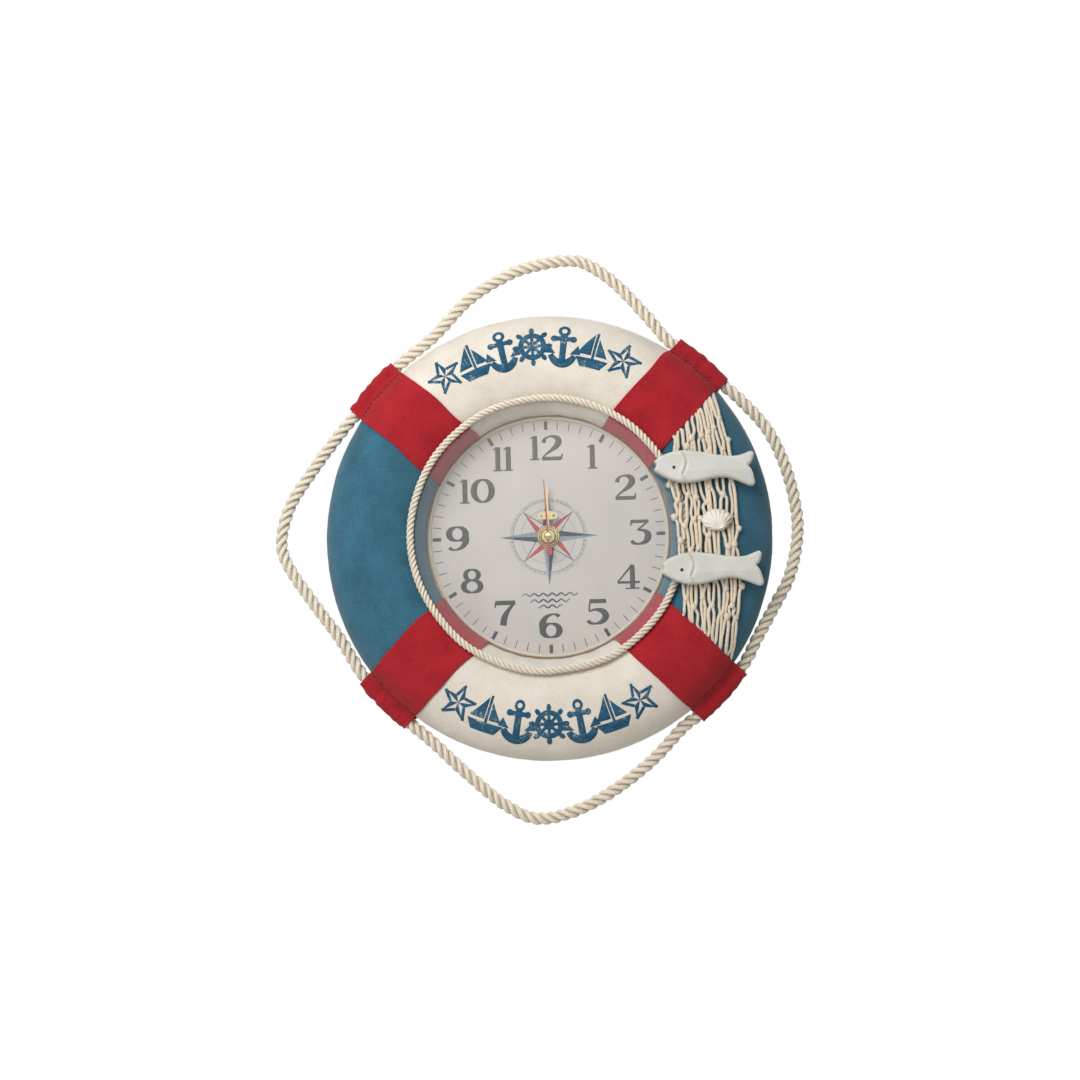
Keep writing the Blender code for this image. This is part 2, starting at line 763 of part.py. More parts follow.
def edge_across(shares, rise):
    # Where a net edge lies at a height, from its table
    rows = [(x * ring_radius, z * ring_radius) for x, z in shares]
    if rise <= rows[0][1]:
        return rows[0][0]
    for (x0, z0), (x1, z1) in zip(rows, rows[1:]):
        if rise <= z1:
            return x0 + (x1 - x0) * (rise - z0) / (z1 - z0)
    return rows[-1][0]


def net_ends(across, inset):
    # The heights where the net meets the lower right and upper right bands
    margin = band_width / 2 + cloth_gap + net_cord_diameter / 2 + inset
    bottom = (margin + across * math.sin(lower_right_angle)) / math.cos(lower_right_angle)
    top = (across * math.sin(upper_right_angle) - margin) / math.cos(upper_right_angle)
    return bottom, top


def net_point(across_share, along_share):
    # The net runs from the lower right band to the upper right one, between its two edges
    rise = 0.0
    across = ring_radius
    for _ in range(12):
        left = edge_across(net_left_shares, rise)
        right = edge_across(net_right_shares, rise)
        across = left + (right - left) * across_share
        bottom, top = net_ends(across, 0.0)
        rise = bottom + (top - bottom) * along_share
    return across, rise


def net_depth(across, rise):
    radius = math.hypot(across, rise)
    if radius >= section_centre_radius:
        return front_depth(radius, 0.0) + net_lift
    share = max((radius - rim_rope_radius) / (section_centre_radius - rim_rope_radius), 0.0)
    return net_rim_depth + (net_top_depth - net_rim_depth) * share


def net_hole(column, row):
    # The gap of one mesh, between knots above and below and the strands on both sides
    columns = 2 * net_meshes_across
    low = -net_gap_share if row > 0 else 0.0
    high = net_gap_share if row < net_rows else 0.0
    sides = []
    for side in (-1, 1):
        points = []
        for step in range(net_gap_steps + 1):
            along = low + (high - low) * step / net_gap_steps
            swing = math.cos(math.pi * along / 2) ** 2
            across, rise = net_point((column + side * swing) / columns, (row + along) / net_rows)
            knot = 1 + net_knot_share * (1 + math.cos(math.tau * along)) / 2
            across -= side * knot * net_cord_diameter / 2
            bottom, top = net_ends(across, net_cord_diameter / 2)
            points.append((across, min(max(rise, bottom), top)))
        sides.append(points)
    return sides[0] + sides[1][::-1]


def make_net():
    # A sheet of strands between diamond gaps whose knots lie in staggered rows, with zigzag edges
    columns = 2 * net_meshes_across
    half = net_cord_diameter / 2
    left = []
    right = []
    for step in range(2 * net_rows + 1):
        inset = (1 - math.cos(math.pi * step / 2)) / 2
        across, rise = net_point(inset / columns, step / net_rows / 2)
        left.append((across - half, rise))
        across, rise = net_point(1 - inset / columns, step / net_rows / 2)
        right.append((across + half, rise))
    ends = [[net_point(column / columns, end) for column in range(1, columns)] for end in (0.0, 1.0)]
    border = left + ends[1] + right[::-1] + ends[0][::-1]
    holes = [
        net_hole(column, row)
        for column in range(1, columns)
        for row in range(net_rows + 1)
        if (column + row) % 2 == 1
    ]
    mesh = outline_mesh([border, *holes], -half, half)
    for vertex in mesh.vertices:
        vertex.co.y -= net_depth(vertex.co.x, vertex.co.z)
    add_object("fishing_net", mesh, net_cotton)


def make_fish(name, across, rise, tilt):
    outline = [(x * fish_length, z * fish_length) for x, z in fish_shares]
    mesh = outline_mesh([outline], trim_back, trim_back + fish_thickness, fish_edge)
    made = add_object(name, mesh, painted_wood, (across, rise))
    made.rotation_euler = (0.0, -tilt, 0.0)


def make_shell():
    # Half of a ribbed egg shape, flat at the back
    shape = bmesh.new()
    bmesh.ops.create_uvsphere(shape, u_segments=4 * shell_rib_count, v_segments=8, radius=1.0)
    bmesh.ops.bisect_plane(
        shape, geom=list(shape.verts) + list(shape.edges) + list(shape.faces), dist=0.001 * mm,
        plane_co=(0.0, 0.0, 0.0), plane_no=(0.0, 0.0, -1.0), clear_outer=True,
    )
    bmesh.ops.holes_fill(shape, edges=[edge for edge in shape.edges if edge.is_boundary])
    for vertex in shape.verts:
        angle = math.atan2(vertex.co.y, vertex.co.x)
        swell = 1 + shell_rib_share * math.cos(shell_rib_count * angle)
        x = vertex.co.x * swell * shell_width / 2
        z = vertex.co.y * swell * shell_height / 2
        vertex.co = (x, -trim_back - vertex.co.z * shell_depth, z)
    add_object("scallop_shell", mesh_from(shape), shell_lime, (shell_across, shell_rise))


def make_case():
    block = boxes((-case_half, case_half, case_back, case_front, case_bottom, case_top))
    made = add_object("movement_case", block, black_plastic)
    cut(made, boxes((-case_inner, case_inner, case_back - cut_overrun, wall_inner, inner_bottom, inner_top)))
    wall_bottom = bay_wall_rise - bay_wall
    wall_end = case_inner + case_wall / 2
    root = wall_inner + case_wall / 2
    join(made, boxes((-wall_end, wall_end, case_back, root, wall_bottom, bay_wall_rise)))
    plate_front = plate_back + plate_thickness
    posts = [
        ((side * post_across, rise), post_radius, plate_front + stack_gap, root)
        for side in (-1, 1) for rise in (lower_post_rise, upper_post_rise)
    ]
    posts.append(((0.0, 0.0), bush_radius, root, bush_end))
    posts.append((intermediate_place, intermediate_post_radius, cannon_level - pivot_depth, root))
    for place in (third_place, setting_place):
        posts.append((place, boss_radius, wall_inner - boss_height, root))
    join(made, pins(*posts))
    holes = [((0.0, 0.0), bush_bore_radius, wall_inner - cut_overrun, bush_end + cut_overrun)]
    for place in (third_place, setting_place):
        holes.append((place, pivot_radius, wall_inner - cut_overrun, root - pivot_depth / 2))
    cut(made, pins(*holes))
    notch_back = strip_back - notch_clearance
    notch_front = strip_back + strip_width + notch_clearance
    notch_left = case_inner - 2 * contact_thickness - 2 * notch_clearance
    notch = (notch_back, notch_front, wall_bottom - cut_overrun, bay_wall_rise + cut_overrun)
    cut(made, boxes((-case_inner, -notch_left, *notch), (notch_left, case_inner, *notch)))


def make_cover():
    panel = boxes((-case_half, case_half, cover_back, cover_inner, case_bottom, case_top))
    made = add_object("back_cover", panel, black_plastic)
    root = cover_inner - cover_thickness / 2
    pivots = ((0.0, 0.0), fifth_place, rotor_place)
    join(made, pins(*[(place, boss_radius, root, cover_inner + boss_height) for place in pivots]))
    cut(made, pins(*[
        (place, pivot_radius, root - pivot_depth / 2, cover_inner + cut_overrun) for place in pivots
    ]))
    through = (cover_back - cut_overrun, cover_inner + cut_overrun)
    cut(made, pins((setting_place, knob_radius + cloth_gap, *through)))
    cell_half = cell_radius + cloth_gap
    end = cell_length / 2
    cut(made, boxes((-end, end, *through, cell_rise - cell_half, cell_rise + cell_half)))


def make_middle_plate():
    side = case_inner - cloth_gap
    bottom = bay_wall_rise + cloth_gap
    front = plate_back + plate_thickness
    panel = boxes((-side, side, plate_back, front, bottom, plate_top))
    made = add_object("middle_plate", panel, white_acetal)
    root = plate_back + plate_thickness / 2
    stator_front = rotor_level + stator_thickness
    board_front = board_back + board_thickness
    bar_middle = stator_bar_rise + stator_bar_height / 2
    leg_middle = stator_left + stator_leg_width / 2
    right_middle = stator_right - stator_leg_width / 2
    board_post = board_left + 2 * post_radius
    posts = [
        ((leg_middle, bar_middle), post_radius, stator_front + stack_gap, root),
        ((0.0, bar_middle), post_radius, stator_front + stack_gap, root),
        ((right_middle, bar_middle), post_radius, stator_front + stack_gap, root),
        ((board_post, bar_middle), post_radius, board_front + stack_gap, root),
    ]
    join(made, pins(*posts))
    hub_clearance = leaves * fine_module / 2 + addendum_share * fine_module + cloth_gap
    through = (plate_back - cut_overrun, front + cut_overrun)
    holes = [
        ((0.0, 0.0), hub_clearance, *through),
        (setting_place, knob_shaft_radius + shaft_gap, *through),
        (third_place, pivot_radius, *through),
        (fifth_place, pivot_radius, *through),
        (rotor_place, pivot_radius, *through),
    ]
    cut(made, pins(*holes))


def arbor(name, place, steps, look):
    # A stepped shaft from pairs of radius and the depth where that radius ends
    back = steps[0]
    profile = [(0.0, back)]
    for radius, front in steps[1:]:
        profile.append((radius, back))
        profile.append((radius, front))
        back = front
    profile.append((0.0, back))
    return turned(name, profile, look, arbor_sides, place)


cover_pivot_end = cover_inner - cover_thickness / 2 + stack_gap
front_pivot_end = wall_inner + case_wall / 2 - pivot_depth
second_end = second_hand_back + hand_thickness + cap_height / 2


def make_going_train():
    # Second wheel and hand arbor
    second_face = (second_level, second_level + wheel_thickness)
    third_face = (third_level, third_level + wheel_thickness)
    centre_face = (centre_level, centre_level + wheel_thickness)
    fifth_face = (fifth_level, fifth_level + wheel_thickness)
    second = arbor("second_wheel", (0.0, 0.0), [cover_pivot_end, (arbor_radius, second_end)], white_acetal)
    join(second, wheel_mesh(second_teeth, second_module, 0.0, *second_face))
    join(second, pinion_mesh(leaves, fine_module, 0.0, *third_face))
    # Third wheel, between the middle plate and the case's front
    third_steps = [plate_back + stack_gap, (arbor_radius, front_pivot_end)]
    third = arbor("third_wheel", third_place, third_steps, white_acetal)
    third_phase = meshed_phase(third_teeth, leaves, 0.0, third_angle)
    join(third, wheel_mesh(third_teeth, fine_module, third_phase, *third_face), third_place)
    third_leaf_phase = third_angle + math.pi
    join(third, pinion_mesh(leaves, third_module, third_leaf_phase, *centre_face), third_place)
    # Centre wheel, a ring that grips the cannon's tail
    centre_phase = meshed_phase(centre_teeth, leaves, third_leaf_phase, third_angle + math.pi)
    grip = cannon_radius + shaft_gap
    add_object("centre_wheel", wheel_mesh(centre_teeth, third_module, centre_phase, *centre_face, grip),
               white_acetal)
    # Fifth wheel
    plate_end = plate_back + plate_thickness - stack_gap
    fifth = arbor("fifth_wheel", fifth_place, [cover_pivot_end, (arbor_radius, plate_end)], white_acetal)
    fifth_leaf_phase = meshed_phase(leaves, second_teeth, 0.0, fifth_angle)
    join(fifth, wheel_mesh(fifth_teeth, third_module, 0.0, *fifth_face), fifth_place)
    join(fifth, pinion_mesh(leaves, second_module, fifth_leaf_phase, *second_face), fifth_place)
    # Rotor and its magnet
    rotor = arbor("rotor", rotor_place, [cover_pivot_end, (arbor_radius, plate_end)], white_acetal)
    rotor_phase = meshed_phase(leaves, fifth_teeth, 0.0, rotor_angle)
    join(rotor, pinion_mesh(leaves, third_module, rotor_phase, *fifth_face), rotor_place)
    magnet = ring_profile(pivot_radius, magnet_radius, rotor_level, rotor_level + magnet_length)
    turned("rotor_magnet", magnet, dark_magnet, pin_sides, rotor_place, ring=True)


cannon_end = minute_hand_back + hand_thickness + stack_gap
hour_tube_end = hour_hand_back + hand_thickness + stack_gap


def make_motion_work():
    cannon_face = (cannon_level, cannon_level + motion_thickness)
    hour_face = (hour_level, hour_level + motion_thickness)
    # Cannon pinion, a tube that carries the minute hand
    tube = ring_profile(pivot_radius, cannon_radius, centre_level - cannon_tail, cannon_end)
    cannon = turned("cannon_pinion", tube, brass, arbor_sides, ring=True)
    cannon_outline = gear_outline(cannon_teeth, motion_module, 0.0, pinion_root_share, pinion_tip_share)
    inner = circle(cannon_radius - shaft_gap, arbor_sides)
    join(cannon, outline_mesh([cannon_outline, inner], *cannon_face))
    # Intermediate wheel on the case's post
    spin = intermediate_angle
    phase = meshed_phase(intermediate_teeth, cannon_teeth, 0.0, spin)
    wheel = wheel_mesh(intermediate_teeth, motion_module, phase, *cannon_face)
    intermediate = add_object("intermediate_wheel", wheel, white_acetal, intermediate_place)
    leaf_phase = spin + math.pi
    leaf_face = (cannon_level + motion_thickness / 2, hour_level + motion_thickness)
    join(intermediate, pinion_mesh(intermediate_leaves, motion_module, leaf_phase, *leaf_face),
         intermediate_place)
    bore = intermediate_post_radius + shaft_gap
    through = (cannon_level - cut_overrun, hour_level + motion_thickness + cut_overrun)
    cut(intermediate, pins((intermediate_place, bore, *through), sides=pin_sides))
    # Hour wheel and tube
    tube = ring_profile(hour_bore_radius, hour_tube_radius, hour_level, hour_tube_end)
    hour = turned("hour_wheel", tube, white_acetal, pin_sides, ring=True)
    hour_phase = meshed_phase(hour_teeth, intermediate_leaves, leaf_phase, spin + math.pi)
    hour_outline = gear_outline(hour_teeth, motion_module, hour_phase, wheel_root_share)
    inner = circle(hour_tube_radius - hour_tube_wall / 2, pin_sides)
    join(hour, outline_mesh([hour_outline, inner], *hour_face))
    # Setting knob, whose shaft ends in a pinion on the intermediate wheel
    knob_steps = [
        knob_back, (knob_radius, knob_back + knob_thickness),
        (knob_shaft_radius, cannon_level + motion_thickness), (arbor_radius, front_pivot_end),
    ]
    knob = arbor("setting_knob", setting_place, knob_steps, white_acetal)
    setting_phase = meshed_phase(setting_teeth, intermediate_teeth, phase, spin)
    join(knob, pinion_mesh(setting_teeth, motion_module, setting_phase, *cannon_face), setting_place)


def make_motor():
    right_leg = stator_right - stator_leg_width
    slot_left = right_leg - stator_slot_width
    bar_top = stator_bar_rise + stator_bar_height
    left_leg = stator_left + stator_leg_width
    base_left = rotor_place[0] - magnet_radius - stator_air_gap - cover_thickness
    hole_top = rotor_place[1] + magnet_radius + stator_air_gap + cover_thickness
    outline = [
        (base_left, stator_bottom), (stator_right, stator_bottom), (stator_right, stator_top),
        (right_leg, stator_top), (right_leg, hole_top), (slot_left, hole_top), (slot_left, bar_top),
        (left_leg, bar_top), (left_leg, stator_top), (stator_left, stator_top),
        (stator_left, stator_bar_rise), (base_left, stator_bar_rise),
    ]
    hole = circle(magnet_radius + stator_air_gap, pin_sides, rotor_place)
    plate = outline_mesh([outline, hole], rotor_level, rotor_level + stator_thickness)
    add_object("stator", plate, zinc_steel)
    core = (stator_left, stator_right, coil_depth - core_width / 2, coil_depth + core_width / 2,
            coil_rise - core_height / 2, coil_rise + core_height / 2)
    add_object("coil_core", boxes(core), zinc_steel)
    winding = turned("coil_winding", ring_profile(coil_bore_radius, coil_radius, -coil_end, -coil_start),
                     copper, pin_sides, (0.0, coil_rise), ring=True)
    winding.rotation_euler = (0.0, 0.0, -math.tau / 4)
    winding.location.y = -coil_depth
    board_front = board_back + board_thickness
    board = add_object("circuit_board", boxes((board_left, board_right, board_back, board_front,
                                               board_bottom, board_top)), green_board)
    join(board, pins(((chip_across, chip_rise), chip_radius, board_front - board_thickness / 2,
                      board_front + chip_height)))
    crystal = turned(
        "quartz_crystal",
        [(0.0, -crystal_length), (crystal_radius, -crystal_length), (crystal_radius, 0.0), (0.0, 0.0)],
        zinc_steel, arbor_sides, (crystal_across, crystal_rise),
    )
    crystal.rotation_euler = (math.tau / 4, 0.0, 0.0)
    crystal.location.y = -(board_front + stack_gap + crystal_radius)


def make_power():
    body_end = cell_length / 2 - cell_nub_length
    profile = [
        (0.0, -cell_length / 2), (cell_radius, -cell_length / 2), (cell_radius, body_end),
        (cell_nub_radius, body_end), (cell_nub_radius, cell_length / 2), (0.0, cell_length / 2),
    ]
    cell = turned("battery", profile, cell_sleeve, 2 * pin_sides, (0.0, cell_rise))
    cell.rotation_euler = (0.0, 0.0, -math.tau / 4)
    cell.location.y = -cell_depth
    outer = case_inner - cloth_gap
    inner = outer - contact_thickness
    tip = cell_length / 2 + cloth_gap
    bottom = cell_rise - contact_height / 2
    top = cell_rise + contact_height / 2
    contact_front = contact_back + contact_width
    strip_front = strip_back + strip_width
    strip = (strip_back, strip_front)
    plate = boxes((-outer, -inner, contact_back, contact_front, bottom, top))
    plus = add_object("contact_plus", plate, zinc_steel)
    join(plus, boxes((-outer, -inner, *strip, top - contact_thickness, strip_end_rise)))
    join(plus, bump(-inner - contact_thickness / 2, -tip))
    plate = boxes((inner, outer, contact_back, contact_front, bottom, top))
    minus = add_object("contact_minus", plate, zinc_steel)
    lower = strip_rise - contact_thickness
    join(minus, boxes((inner, outer, *strip, top - contact_thickness, strip_rise)))
    join(minus, boxes((strip_end_across, outer - contact_thickness / 2, *strip, lower, strip_rise)))
    turn_end = strip_end_across + contact_thickness
    join(minus, boxes((strip_end_across, turn_end, *strip, lower, strip_end_rise)))
    join(minus, bump(inner + contact_thickness / 2, tip))


def bump(start, end):
    # A cone along X on the cell's axis, from the contact's plate to the cell's end
    shape = bmesh.new()
    middle = Matrix.Translation(((start + end) / 2, -cell_depth, cell_rise))
    turn = math.copysign(math.tau / 4, end - start)
    bmesh.ops.create_cone(
        shape, cap_ends=True, segments=pin_sides, radius1=contact_root_radius, radius2=contact_tip_radius,
        depth=abs(end - start), matrix=middle @ Matrix.Rotation(turn, 4, "Y"),
    )
    return mesh_from(shape)


def make_clamping():
    rubber_ring = ring_profile(bush_hole_radius, rubber_radius, rubber_back, rubber_back + rubber_thickness)
    turned("rubber_washer", rubber_ring, rubber, pin_sides, ring=True)
    washer_ring = ring_profile(bush_hole_radius, washer_radius, washer_level, washer_level + washer_thickness)
    turned("dial_washer", washer_ring, brass, 2 * pin_sides, ring=True)
    corner = nut_across_flats / 2 / math.cos(math.pi / 6)
    nut = outline_mesh([circle(corner, 6), circle(bush_hole_radius, 2 * pin_sides)],
                       nut_level, nut_level + nut_thickness)
    add_object("fixing_nut", nut, brass)


def make_hanger():
    # A strip bent back over the movement to the wall, with a keyhole near its top
    front = hanger_back + hanger_thickness
    profile = [
        (hanger_foot, hanger_back), (hanger_foot, front), (hanger_bend + hanger_thickness, front),
        (hanger_bend + hanger_thickness + hanger_slope, hanger_thickness), (hanger_top, hanger_thickness),
        (hanger_top, 0.0), (hanger_bend + hanger_slope, 0.0), (hanger_bend, hanger_back),
    ]
    outline = [(depth, rise) for rise, depth in profile]
    mesh = outline_mesh([outline], -hanger_width / 2, hanger_width / 2)
    mesh.transform(Matrix.Rotation(-math.tau / 4, 4, "Z"))
    mesh.shade_flat()
    made = add_object("hanger_plate", mesh, zinc_steel)
    cut(made, pins(((0.0, 0.0), bush_hole_radius, hanger_back - cut_overrun, front + cut_overrun)))
    slot = (-slot_width / 2, slot_width / 2, -cut_overrun, hanger_thickness + cut_overrun,
            nail_rise - keyhole_drop, nail_rise)
    cut(made, boxes(slot))
    keyhole = ((0.0, nail_rise - keyhole_drop), keyhole_radius)
    cut(made, pins((*keyhole, -cut_overrun, hanger_thickness + cut_overrun)))


def arc(width, height, middle, start, end, count):
    # Points along an ellipse from one angle to another
    return [
        (middle[0] + width * math.cos(angle), middle[1] + height * math.sin(angle))
        for angle in [start + (end - start) * k / count for k in range(count + 1)]
    ]


def hub_arc(radius, half_stem, count):
    # Round a hand's hub from the stem's left side to its right side
    gap = math.asin(half_stem / radius)
    quarter = math.tau / 4
    return arc(radius, radius, (0.0, 0.0), quarter + gap, quarter + math.tau - gap, count)


def make_hands():
    stem = hour_stem_width / 2
    lobe_top = lobe_rise + lobe_radius
    lobe_bottom = lobe_rise - lobe_radius
    right_side = [(stem, lobe_bottom)]
    lobe = (lobe_radius, lobe_radius, (lobe_across, lobe_rise))
    right_side += arc(*lobe, -math.tau / 4, math.tau / 4, lobe_steps)
    right_side.append((stem, lobe_top + stem))
    left_side = [(-across, rise) for across, rise in right_side[::-1]]
    outline = hub_arc(hour_hub_radius, stem, pin_sides)
    outline += right_side + [(0.0, hour_hand_length)] + left_side
    holes = [circle(lobe_hole_radius, lobe_steps, (side * lobe_across, lobe_rise)) for side in (-1, 1)]
    holes.append(circle(hour_tube_radius + shaft_gap, pin_sides))
    hour_front = hour_hand_back + hand_thickness
    add_object("hour_hand", outline_mesh([outline, *holes], hour_hand_back, hour_front), brass)
    half = minute_stem_width / 2
    shoulder = minute_hand_length - minute_hub_radius
    outline = hub_arc(minute_hub_radius, half, pin_sides)
    outline += [(half, shoulder), (0.0, minute_hand_length), (-half, shoulder)]
    minute_hole = circle(cannon_radius + shaft_gap, pin_sides)
    minute = outline_mesh([outline, minute_hole], minute_hand_back, minute_hand_back + hand_thickness)
    add_object("minute_hand", minute, brass)
    make_second_hand()


def make_second_hand():
    back = second_hand_back
    front = back + hand_thickness
    root = second_root_width / 2
    tip = second_tip_width / 2
    half_weight = counterweight_width / 2
    quarter = math.tau / 4
    hub_gap = math.asin(root / second_hub_radius)
    weight_gap = math.asin(root / half_weight)
    middle = (0.0, counterweight_rise)
    size = (half_weight, counterweight_length / 2)
    count = pin_sides // 2
    hub = (second_hub_radius, second_hub_radius, (0.0, 0.0))
    outline = [(tip, second_hand_length), (-tip, second_hand_length)]
    outline += arc(*hub, quarter + hub_gap, 3 * quarter - hub_gap, count)
    outline += arc(*size, middle, quarter + weight_gap, 3 * quarter - weight_gap, count)
    outline += [(-root, -second_hand_tail), (root, -second_hand_tail)]
    outline += arc(*size, middle, weight_gap - quarter, quarter - weight_gap, count)
    outline += arc(*hub, hub_gap - quarter, quarter - hub_gap, count)
    mesh = outline_mesh([outline, circle(pivot_radius, arbor_sides)], back, front)
    made = add_object("second_hand", mesh, red_paint)
    made.rotation_euler = (0.0, -second_hand_angle, 0.0)
    cap_back = front + stack_gap
    count = cap_steps
    dome = [(pivot_radius, cap_back + cap_height / 2), (pivot_radius, cap_back), (cap_radius, cap_back)]
    for k in range(1, count + 1):
        angle = math.tau / 4 * k / count
        dome.append((cap_radius * math.cos(angle), cap_back + cap_height * math.sin(angle)))
    dome.insert(0, (0.0, cap_back + cap_height / 2))
    turned("second_cap", dome, brass, pin_sides)


make_foam_ring()
make_canvas("canvas_top", upper_right_angle, upper_left_angle, white_cloth)
make_canvas("canvas_left", upper_left_angle, lower_left_angle, blue_cloth)
make_canvas("canvas_bottom", lower_left_angle, lower_right_angle, white_cloth)
make_canvas("canvas_right", lower_right_angle, math.tau + upper_right_angle, blue_cloth)
make_band("band_upper_right", upper_right_angle)
make_band("band_upper_left", upper_left_angle)
make_band("band_lower_left", lower_left_angle)
make_band("band_lower_right", lower_right_angle)
make_grab_rope()
make_window()
make_net()
make_fish("fish_upper", fish_upper_across, fish_upper_rise, fish_upper_tilt)
make_fish("fish_lower", fish_lower_across, fish_lower_rise, fish_lower_tilt)
make_shell()
make_case()
make_cover()
make_middle_plate()
make_going_train()
make_motion_work()
make_motor()
make_power()
make_clamping()
make_hanger()
make_hands()
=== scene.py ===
# Lifebuoy wall clock: everything that the eye sees of it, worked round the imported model.
# The dictionaries hold millimetres. A place on the face is measured from the hands' axis, x to the right and
# z up, and a depth is measured forward from the wall.
import json
import math

import bmesh
import bpy
import numpy as np
from mathutils import Matrix, Vector


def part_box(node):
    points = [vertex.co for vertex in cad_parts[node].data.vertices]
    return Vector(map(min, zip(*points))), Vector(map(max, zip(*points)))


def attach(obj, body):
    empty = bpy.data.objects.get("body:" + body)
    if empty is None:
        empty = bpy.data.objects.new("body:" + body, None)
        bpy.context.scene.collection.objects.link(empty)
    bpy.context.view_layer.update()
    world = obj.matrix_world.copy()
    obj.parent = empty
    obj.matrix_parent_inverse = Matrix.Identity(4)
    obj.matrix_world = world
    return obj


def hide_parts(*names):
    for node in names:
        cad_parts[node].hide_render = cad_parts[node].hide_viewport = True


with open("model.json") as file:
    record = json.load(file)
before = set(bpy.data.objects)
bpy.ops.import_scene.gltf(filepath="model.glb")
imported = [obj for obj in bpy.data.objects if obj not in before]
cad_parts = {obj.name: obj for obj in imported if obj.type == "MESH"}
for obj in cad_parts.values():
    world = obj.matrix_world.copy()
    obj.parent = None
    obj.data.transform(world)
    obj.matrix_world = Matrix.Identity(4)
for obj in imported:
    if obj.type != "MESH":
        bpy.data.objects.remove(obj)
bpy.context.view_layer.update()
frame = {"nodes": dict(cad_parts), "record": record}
nodes = frame["nodes"]
mm = 0.001
axisRise = -46.0  # the hands' axis lies this far under the nail
turn = 2 * math.pi
print("frame loaded:", len(nodes), "nodes")

# ---- meshes ----


def onFace(x, depth, z):  # metres in the frame, from millimetres on the face
    x, depth, z = np.broadcast_arrays(np.asarray(x, float), depth, z)
    return np.stack([x, -depth, z + axisRise], axis=-1) * mm


def allOnFace(points):  # the same for points whose last axis holds x, depth and z
    return onFace(*np.moveaxis(points, -1, 0))


def clockwise(radius, depth, angle):  # the same by radius and by angle from twelve o'clock
    return onFace(radius * np.sin(angle), depth, radius * np.cos(angle))


def circle(count):  # angles evenly round a turn
    return turn * np.arange(count) / count


def capped(rows):  # the first row and the last are there twice
    return np.concatenate([rows[:1], rows, rows[-1:]])


def unit(rows):
    return rows / np.linalg.norm(rows, axis=-1, keepdims=True)


def ramp(value, low, high):  # from 0 at low to 1 at high
    return np.clip((value - low) / (high - low), 0, 1)


def uvGrid(rows, columns):  # one value for each row and one for each column
    return np.stack(np.broadcast_arrays(rows[:, None], columns[None, :]), axis=-1)


def gridSurface(name, points, uv=None, wrapRows=False, wrapColumns=False, values=None):
    # point (row, column) joins to the next row and column, and to the first again where it wraps
    rows, columns = points.shape[:2]
    index = np.arange(rows * columns).reshape(rows, columns)
    index = index[np.arange(rows + wrapRows) % rows][:, np.arange(columns + wrapColumns) % columns]
    this, following = slice(None, -1), slice(1, None)
    corners = [(this, this), (following, this), (following, following), (this, following)]
    quads = np.stack([index[c] for c in corners], axis=-1).reshape(-1, 4)
    mesh = bpy.data.meshes.new(name)
    mesh.vertices.add(rows * columns)
    mesh.vertices.foreach_set("co", points.reshape(-1))
    mesh.loops.add(quads.size)
    mesh.loops.foreach_set("vertex_index", quads.reshape(-1).astype(np.int32))
    mesh.polygons.add(len(quads))
    mesh.polygons.foreach_set("loop_start", np.arange(0, quads.size, 4, dtype=np.int32))
    mesh.polygons.foreach_set("use_smooth", np.ones(len(quads), dtype=bool))
    mesh.update(calc_edges=True)
    if uv is not None:  # uv has one more row or column than the points where the grid wraps
        perLoop = np.stack([uv[c] for c in corners], axis=2).reshape(-1, 2)
        mesh.uv_layers.new(name="UVMap").data.foreach_set("uv", perLoop.reshape(-1))
    if values is not None:
        mesh.attributes.new("paintedShadeAndTint", "FLOAT", "POINT").data.foreach_set("value", values.reshape(-1))
    mesh.validate()
    return mesh


def closeMesh(mesh, gap=0.002):  # merges seams and poles, then turns every face outwards
    shape = bmesh.new()
    shape.from_mesh(mesh)
    bmesh.ops.remove_doubles(shape, verts=shape.verts, dist=gap * mm)
    bmesh.ops.dissolve_degenerate(shape, edges=shape.edges, dist=gap * mm / 10)
    bmesh.ops.recalc_face_normals(shape, faces=shape.faces)
    shape.to_mesh(mesh)
    shape.free()
    return mesh


def joinMeshes(name, meshes):
    shape = bmesh.new()
    for mesh in meshes:
        shape.from_mesh(mesh)
    joined = bpy.data.meshes.new(name)
    shape.to_mesh(joined)
    shape.free()
    for mesh in meshes:
        bpy.data.meshes.remove(mesh)
    return joined


def linked(name, data):
    thing = bpy.data.objects.new(name, data)
    bpy.context.scene.collection.objects.link(thing)
    return thing


def addPiece(name, mesh, body, material, replaced=(), thickness=0.0, sharpFrom=None):
    piece = linked(name, mesh)
    mesh.materials.append(material)
    if sharpFrom is not None:
        mesh.set_sharp_from_angle(angle=math.radians(sharpFrom))
    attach(piece, body)
    if replaced:
        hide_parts(*replaced)
    if thickness:  # a cloth gets its thickness behind its face
        wall = piece.modifiers.new("thickness", "SOLIDIFY")
        wall.thickness = thickness * mm
        wall.offset = -1.0
        wall.use_even_offset = False
    return piece


def waves(seed, count, shortest, longest):
    # a function of one length: the mean of sines of random wavelength and phase, between about -1 and 1
    draw = np.random.default_rng(seed)
    lengths = draw.uniform(shortest, longest, count)
    phases = draw.uniform(0, turn, count)
    return lambda s: np.sin(turn * np.asarray(s)[..., None] / lengths + phases).sum(-1) / math.sqrt(count)


# ---- materials ----


def hexColour(code):  # sRGB hex to linear colour
    channels = [int(code[k:k + 2], 16) / 255 for k in (1, 3, 5)]
    return [c / 12.92 if c <= 0.04045 else ((c + 0.055) / 1.055) ** 2.4 for c in channels] + [1.0]


